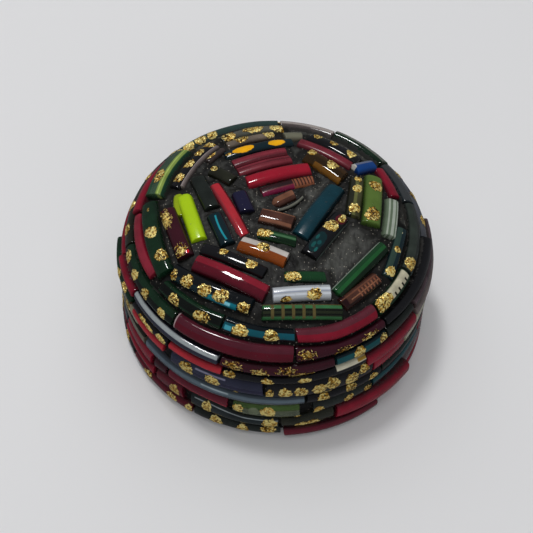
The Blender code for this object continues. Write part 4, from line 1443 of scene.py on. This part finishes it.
@dataclass
class RowStack:
    """The rows of curved rods on the lid or on the base, one above the other.

    The lines between them waver, as the rods were set by eye. Each line is given by its distance along the
    bed from the foot, in millimetres, at each of the angles. A rod that is lifted off the bed keeps its flat
    side down to a share of its rise, and a dab of gold has the dab size in millimetres unless it says more.
    """

    bed: Bed
    angles: tuple[float, ...]
    lines: tuple[tuple[float, ...], ...]
    rows: tuple[tuple[str, tuple[RowSpec, ...]], ...]
    row_joint: float = 0.12 * MM
    rod_joint: float = 0.4 * MM
    rise: float = 2.3 * MM
    seat_gap: float = 0.3 * MM
    stations: int = 33
    spare_degrees: float = 1.0
    flat_share: float = 0.2
    dab_size: float = 3.0

    def seats(self, degrees: np.ndarray, row: int, spec: RowSpec) -> np.ndarray:
        """Finds the middle line of a rod.

        Args:
            degrees: angles along it.
            row: which row it is in, from the bottom.
            spec: the rod as it is listed.

        Returns:
            For each angle r and z of the seat, r and z of the outward direction, and the width.
        """
        run, way_r, way_z = self.bed.way()
        low = np.interp(degrees, self.angles, self.lines[row], period=360.0) + spec.edges[0]
        high = np.interp(degrees, self.angles, self.lines[row + 1], period=360.0) + spec.edges[1]
        middle = (low + high) / 2.0 * MM
        r, z = np.interp(middle, run, way_r), np.interp(middle, run, way_z)
        normals = np.array([tuple(self.bed.normal(*seat)) for seat in zip(r.tolist(), z.tolist())])
        return np.column_stack((r, z, normals, (high - low) * MM - self.row_joint))

    def rod(self, name: str, row: int, spec: RowSpec) -> GlassRod:
        """Works out a curved rod from its listing.

        Args:
            name: name of the rod.
            row: which row it is in, from the bottom.
            spec: the rod as it is listed.

        Returns:
            The rod, ready to be modelled.
        """
        gap = math.degrees(self.rod_joint / 2.0 / self.bed.radius)
        first, last = spec.start + gap, spec.end - gap
        angles = np.linspace(first - self.spare_degrees, last + self.spare_degrees, self.stations)
        seats = self.seats(angles, row, spec)
        width = float(seats[:, 4].mean())
        length = math.radians(last - first) * float(seats[:, 0].mean())

        def lay(points: np.ndarray) -> np.ndarray:
            """Carries points from the rod's frame to the box's.

            Args:
                points: places in the rod's frame.

            Returns:
                Places in the box's.
            """
            share = points[:, 0] / length
            angle = first + share * (last - first)
            r, z, out_r, out_z, wide = (np.interp(angle, angles, seats[:, column]) for column in range(5))
            side = points[:, 1] * wide / width
            lift = (spec.lift[0] + (spec.lift[1] - spec.lift[0]) * share) * MM
            off = points[:, 2] + self.seat_gap + lift * (points[:, 2] > self.flat_share * self.rise)
            far = r - out_z * side + out_r * off
            turn = np.radians(angle)
            return np.column_stack((far * np.cos(turn), far * np.sin(turn), z + out_r * side + out_z * off))

        dabs = []
        for angle, across, *sizes in spec.gold:
            long = sizes[0] if sizes else self.dab_size
            wide = sizes[1] if len(sizes) > 1 else min(self.dab_size, width / MM * 0.9)
            dabs.append(Dab((angle - first) / (last - first), across, long, wide, len(sizes) > 2))
        return GlassRod(name, spec.glass, length, width, self.rise, lay, spec.paint, tuple(dabs))

    def build(self, gold: GoldLeaf) -> None:
        """Models, dresses and gilds every rod of the stack.

        Args:
            gold: the gold leaf of this half of the box.
        """
        for row, (row_name, specs) in enumerate(self.rows):
            for number, spec in enumerate(specs, 1):
                self.rod(f"{row_name}_rod_{number:02d}", row, spec).build(gold, row_name)


@dataclass
class LacShell:
    """One half of the box under its glass: a turned shell coated in lac, pressed up between the rods.

    The lac sinks in the bare places, over the sink reach from a rod. Next to a rod it is painted near black,
    as painted shade in the crevice, and shows its bare colour from the shade reach on. The
    scales are repeats a metre: lumps of about 2.4 mm, grit and grains of mica of about 0.5 mm, a mottle of
    about 2.6 mm and scuffs of about 0.7 mm. The grains are coarser than real ones so that they show.
    """

    name: str
    node: str
    bed: Bed
    outside: list[tuple[float, float]]
    inside: list[tuple[float, float]]
    swell: float = 1.15 * MM
    grit: float = 0.2 * MM
    sink: float = 0.55 * MM
    sides: int = 420
    weld: float = 0.004 * MM
    top_share: float = 0.84
    batches: int = 80
    farthest: float = 3.0 * MM
    shade_reach: float = 1.4 * MM
    sink_reach: float = 0.9 * MM
    touch: float = 0.05 * MM
    edge_fade: float = 1.2 * MM
    lump_share: float = 1.6
    lump_scale: float = 420.0
    grit_scale: float = 2200.0
    mottle_scale: float = 380.0
    scuff_scale: float = 1500.0
    mica_scale: float = 2100.0
    smooth_angle: float = 50.0
    rods: np.ndarray = field(default_factory=lambda: np.zeros((0, 3)))

    def turn(self) -> bpy.types.Object:
        """Turns the shell round the box's axis.

        Returns:
            The smooth shell.
        """
        profile = self.outside + self.inside
        clear_selection()
        bpy.ops.mesh.primitive_circle_add(vertices=len(profile), radius=1.0, fill_type="NOTHING")
        shell = bpy.context.object
        shell.name = shell.data.name = self.name
        write_points(shell, np.array([(r, 0.0, z) for r, z in profile]))
        edit_some(shell, "EDGE", lambda edge: set(edge.vertices) == {0, len(profile) - 1})
        bpy.ops.mesh.delete(type="EDGE")
        bpy.ops.mesh.select_all(action="SELECT")
        bpy.ops.mesh.spin(steps=self.sides, angle=math.tau, center=(0.0, 0.0, 0.0), axis=(0.0, 0.0, 1.0))
        bpy.ops.mesh.select_all(action="SELECT")
        bpy.ops.mesh.remove_doubles(threshold=self.weld)
        bpy.ops.mesh.normals_make_consistent(inside=False)
        bpy.ops.object.mode_set(mode="OBJECT")
        return shell

    def gaps(self, points: np.ndarray) -> np.ndarray:
        """Finds how far points on top of the lid lie from the nearest rod of the field.

        Args:
            points: the shell's points.

        Returns:
            The distances, 0 at a rod and off the top.
        """
        gap = np.zeros(len(points))
        if not len(self.rods):
            return gap
        edge = self.bed.radius * self.top_share
        top = np.hypot(points[:, 0], points[:, 1]) < edge
        top &= points[:, 2] > self.bed.height_at(edge) - MM
        for batch in np.array_split(np.flatnonzero(top), self.batches):
            off = np.hypot(
                points[batch, 0, None] - self.rods[:, 0], points[batch, 1, None] - self.rods[:, 1])
            gap[batch] = np.clip((off - self.rods[:, 2]).min(axis=1), 0.0, self.farthest)
        return gap

    def press(self, shell: bpy.types.Object) -> None:
        """Raises the lac on the outside in soft lumps and grit, and leaves the seam and the foot alone.

        It stands highest where it was squeezed up against the rods and lower in the bare places.

        Args:
            shell: the smooth shell.
        """
        points = read_points(shell)
        gap = self.gaps(points)
        bare = shell.data.attributes.new("bare", "FLOAT", "POINT")
        bare.data.foreach_set("value", np.clip(gap / self.shade_reach, 0.0, 1.0).astype(np.float32))
        sunk = self.sink * (1.0 - np.exp(-(gap / self.sink_reach) ** 2))
        low = min(z for _, z in self.outside)
        high = max(z for _, z in self.outside)
        for index, (x, y, z) in enumerate(points):
            r = math.hypot(x, y)
            on_side = abs(r - self.bed.radius_at(z)) < self.touch
            on_top = r < self.bed.radius and abs(z - self.bed.height_at(r)) < self.touch
            if not (on_side or on_top):
                continue
            edge = min(z - low, high - z) if high < self.bed.seam_z else z - low
            fade = min(1.0, max(0.0, edge / self.edge_fade))
            place = Vector((x, y, z))
            lump = noise.fractal(place * self.lump_scale, 0.8, 2.0, 3)
            push = fade * (self.swell - sunk[index] + self.grit * self.lump_share * lump
                           + self.grit * noise.noise(place * self.grit_scale))
            out = self.bed.normal(r, z)
            points[index, 0] += out.x * x / max(r, 1e-6) * push
            points[index, 1] += out.x * y / max(r, 1e-6) * push
            points[index, 2] += out.y * push
        write_points(shell, points)

    @staticmethod
    def tones(tree: bpy.types.NodeTree, value: Any, low: str, high: str) -> Any:
        """Spreads a noise over two tones.

        Args:
            tree: the material's node tree.
            value: socket of the noise.
            low: tone where it is low.
            high: tone where it is high.

        Returns:
            Socket of the colour.
        """
        ramp = add_node(tree, "ShaderNodeValToRGB", {0: value})
        stops = ramp.color_ramp.elements
        stops[0].position, stops[0].color = 0.36, linear(low)
        stops[1].position, stops[1].color = 0.68, linear(high)
        return ramp.outputs[0]

    def dress(self, shell: bpy.types.Object) -> None:
        """Gives the shell its lac: resin filled with dark powder, pressed on warm.

        It is dull and mottled, with fine bright grains of mica and glass dust in it, and painted near black
        next to the rods as painted shade.

        Args:
            shell: the pressed shell.
        """
        material = blank_material("pressed_lac")
        tree = material.node_tree
        place = add_node(tree, "ShaderNodeTexCoord").outputs["Object"]
        bare = add_node(tree, "ShaderNodeAttribute", attribute_name="bare").outputs["Fac"]
        mottle = add_node(
            tree, "ShaderNodeTexNoise", {"Vector": place, "Scale": self.mottle_scale, "Detail": 6.0})
        drawn = add_node(
            tree, "ShaderNodeMapping",
            {"Vector": place, "Rotation": (0.0, 0.0, 0.85), "Scale": (1.0, 0.16, 1.0)})
        scuffs = add_node(
            tree, "ShaderNodeTexNoise",
            {"Vector": drawn.outputs[0], "Scale": self.scuff_scale, "Detail": 3.0})
        # painted shade: near black lac where it meets the rods
        crevice_shade = self.tones(tree, mottle.outputs[0], "#050504", "#141311")
        dusty = self.tones(tree, mottle.outputs[0], "#1D1D1B", "#3E3F3B")
        scuffed = self.tones(tree, scuffs.outputs[0], "#242422", "#5A5B56")
        worn = add_node(tree, "ShaderNodeMix", {0: 0.45, 6: dusty, 7: scuffed}, data_type="RGBA")
        ground = add_node(
            tree, "ShaderNodeMix", {0: bare, 6: crevice_shade, 7: worn.outputs[2]}, data_type="RGBA")
        grains = add_node(tree, "ShaderNodeTexVoronoi", {"Vector": place, "Scale": self.mica_scale})
        bright = add_node(
            tree, "ShaderNodeMapRange", {0: grains.outputs["Distance"], 1: 0.1, 2: 0.28, 3: 0.85, 4: 0.0})
        which = add_node(tree, "ShaderNodeSeparateColor", {0: grains.outputs["Color"]})
        rare = add_node(
            tree, "ShaderNodeMapRange", {0: which.outputs[0], 1: 0.7, 2: 0.82, 3: 0.0, 4: 1.0})
        mica = add_node(
            tree, "ShaderNodeMath", {0: bright.outputs[0], 1: rare.outputs[0]}, operation="MULTIPLY")
        colour = add_node(
            tree, "ShaderNodeMix",
            {0: mica.outputs[0], 6: ground.outputs[2], 7: linear("#B4AC9E")}, data_type="RGBA")
        bump = add_node(
            tree, "ShaderNodeBump", {"Height": mottle.outputs[0], "Strength": 0.7, "Distance": 0.25 * MM})
        shader = add_node(
            tree, "ShaderNodeBsdfPrincipled",
            {"Base Color": colour.outputs[2], "Roughness": 0.62, "IOR": 1.45, "Normal": bump.outputs[0]})
        add_node(tree, "ShaderNodeOutputMaterial", {0: shader.outputs[0]})
        shell.data.materials.append(material)

    def build(self) -> None:
        """Turns, presses and dresses the shell."""
        shell = self.turn()
        self.press(shell)
        bpy.ops.object.shade_smooth_by_angle(angle=math.radians(self.smooth_angle))
        self.dress(shell)
        hand_in(shell, "lac", self.node)


def lid_shell(bed: Bed) -> LacShell:
    """Works out the lid's shell.

    Args:
        bed: the sizes of the box.

    Returns:
        The shell, ready to be turned.
    """
    neck = bed.radius - bed.base_wall + bed.neck_wall
    recess, recess_z = neck + bed.neck_clearance, bed.seam_z + bed.neck_height + bed.neck_clearance
    field_edge = 0.93 * bed.radius
    flat = [(field_edge * step / 70, bed.height_at(field_edge * step / 70)) for step in range(71)]
    edge_z = flat[-1][1]
    side = [bed.seam_z + (edge_z - bed.seam_z) * math.cos(step / 30 * math.pi / 2.0)
            for step in range(1, 31)]
    outside = flat + [(bed.radius_at(z), z) for z in side]
    inner_r, inner_h = bed.radius - bed.lid_wall, bed.height - bed.lid_wall
    top = bed.shoulder_z + inner_h
    dome = [recess_z + (top - recess_z) * math.sin(step / 16 * math.pi / 2.0) for step in range(17)]
    inside = [(recess, bed.seam_z), (recess, recess_z)]
    inside += [(bed.dome_radius(inner_r, inner_h, z), z) for z in dome]
    return LacShell("lid_lac", "lid_body", bed, outside, inside, rods=LidField(bed).footprints())


def base_shell(bed: Bed) -> LacShell:
    """Works out the base's shell.

    Args:
        bed: the sizes of the box.

    Returns:
        The shell, ready to be turned.
    """
    cavity, rim_z = bed.radius - bed.base_wall, bed.seam_z - bed.seam_gap
    neck, neck_z = cavity + bed.neck_wall, bed.seam_z + bed.neck_height
    heights = [bed.foot_chamfer + (rim_z - bed.foot_chamfer) * step / 44 for step in range(45)]
    outside = [(bed.radius_at(z), z) for z in heights]
    foot = [(0.0, 0.0), (bed.radius_at(0.0) - bed.foot_chamfer, 0.0)]
    inside = [(neck, rim_z), (neck, neck_z), (cavity, neck_z), (cavity, bed.floor), (0.0, bed.floor)]
    return LacShell("base_lac", "base_body", bed, foot + outside, inside)


@dataclass
class Studio:
    """Pale floor, a small lamp high behind the box, a soft room round it, and the camera."""

    floor_tone: str = "#E2E2E3"
    room_tone: str = "#F2F4FA"
    room_strength: float = 0.13
    target: Vector = field(default_factory=lambda: Vector((0.0, 0.0, 0.017)))
    elevation: float = 53.2
    roll: float = 3.35
    distance: float = 0.252
    focal_pixels: float = 1000.0
    frame_pixels: float = 533.0
    centre_pixels: tuple[float, float] = (275.0, 263.6)

    def floor(self) -> None:
        """Lays the floor."""
        clear_selection()
        bpy.ops.mesh.primitive_plane_add(size=6.0, location=(0.0, 0.0, 0.0))
        floor = bpy.context.object
        floor.name = "floor"
        material = bpy.data.materials.new("floor")
        material.use_nodes = True
        shader = material.node_tree.nodes["Principled BSDF"]
        shader.inputs["Base Color"].default_value = linear(self.floor_tone)
        shader.inputs["Roughness"].default_value = 0.9
        shader.inputs["Specular IOR Level"].default_value = 0.0
        floor.data.materials.append(material)
        floor.visible_glossy = False

    def lamp(self, name: str, way: tuple[float, float, float], size: float, watts: float,
             seen: bool = False) -> None:
        """Hangs a square lamp that faces the box.

        Args:
            name: name of the lamp.
            way: where it hangs from the box.
            size: its side.
            watts: its power.
            seen: whether glossy things mirror it.
        """
        place = self.target + Vector(way)
        light = bpy.data.lights.new(name, "AREA")
        light.size = size
        light.energy = watts
        hung = bpy.data.objects.new(name, light)
        hung.location = place
        hung.rotation_euler = (self.target - place).to_track_quat("-Z", "Y").to_euler()
        hung.visible_glossy = seen
        bpy.context.scene.collection.objects.link(hung)

    def light(self) -> None:
        """Lights the room."""
        world = bpy.data.worlds.new("room")
        bpy.context.scene.world = world
        world.use_nodes = True
        background = world.node_tree.nodes["Background"]
        background.inputs["Color"].default_value = linear(self.room_tone)
        background.inputs["Strength"].default_value = self.room_strength
        self.lamp("ceiling_lamp", (-0.15, 0.16, 0.76), size=0.12, watts=2.0, seen=True)
        self.lamp("room_light", (-0.1, 0.3, 0.9), size=1.7, watts=7.0)
        self.lamp("front_light", (0.15, -0.9, 0.45), size=1.2, watts=4.0)

    def camera(self) -> None:
        """Sets the camera where the photograph was taken from."""
        rise, roll = math.radians(self.elevation), math.radians(self.roll)
        back = Vector((0.0, -math.cos(rise), math.sin(rise)))
        level = Vector((1.0, 0.0, 0.0))
        up = back.cross(level)
        right = level * math.cos(roll) + up * math.sin(roll)
        top = up * math.cos(roll) - level * math.sin(roll)
        turn = Matrix((right, top, back)).transposed().to_4x4()
        camera = bpy.data.objects.new("camera", bpy.data.cameras.new("camera"))
        camera.matrix_world = Matrix.Translation(self.target + back * self.distance) @ turn
        camera.data.lens = camera.data.sensor_width * self.focal_pixels / self.frame_pixels
        middle = self.frame_pixels / 2.0
        camera.data.shift_x = -(self.centre_pixels[0] - middle) / self.frame_pixels
        camera.data.shift_y = (self.centre_pixels[1] - middle) / self.frame_pixels
        bpy.context.scene.collection.objects.link(camera)
        bpy.context.scene.camera = camera

    def build(self) -> None:
        """Sets up the floor, the light and the camera."""
        self.floor()
        self.light()
        self.camera()
        bpy.context.scene.view_settings.view_transform = "Standard"


def main() -> None:
    """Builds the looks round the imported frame."""
    logging.basicConfig(level=logging.INFO, format="%(message)s")
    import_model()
    lid_shell(BED).build()
    base_shell(BED).build()
    lid_gold, base_gold = GoldLeaf("lid_gold_leaf"), GoldLeaf("base_gold_leaf")
    for gold in (lid_gold, base_gold):
        gold.cut()
    LidField(BED).build(lid_gold)
    RowStack(BED, LID_ANGLES, LID_LINES, LID_ROWS).build(lid_gold)
    RowStack(BED, BASE_ANGLES, BASE_LINES, BASE_ROWS).build(base_gold)
    for gold in (lid_gold, base_gold):
        leaf = gold.model()
        gold.dress(leaf)
        hand_in(leaf, "gold_leaf")
    Studio().build()
    clear_selection()


if __name__ == "__main__":
    main()
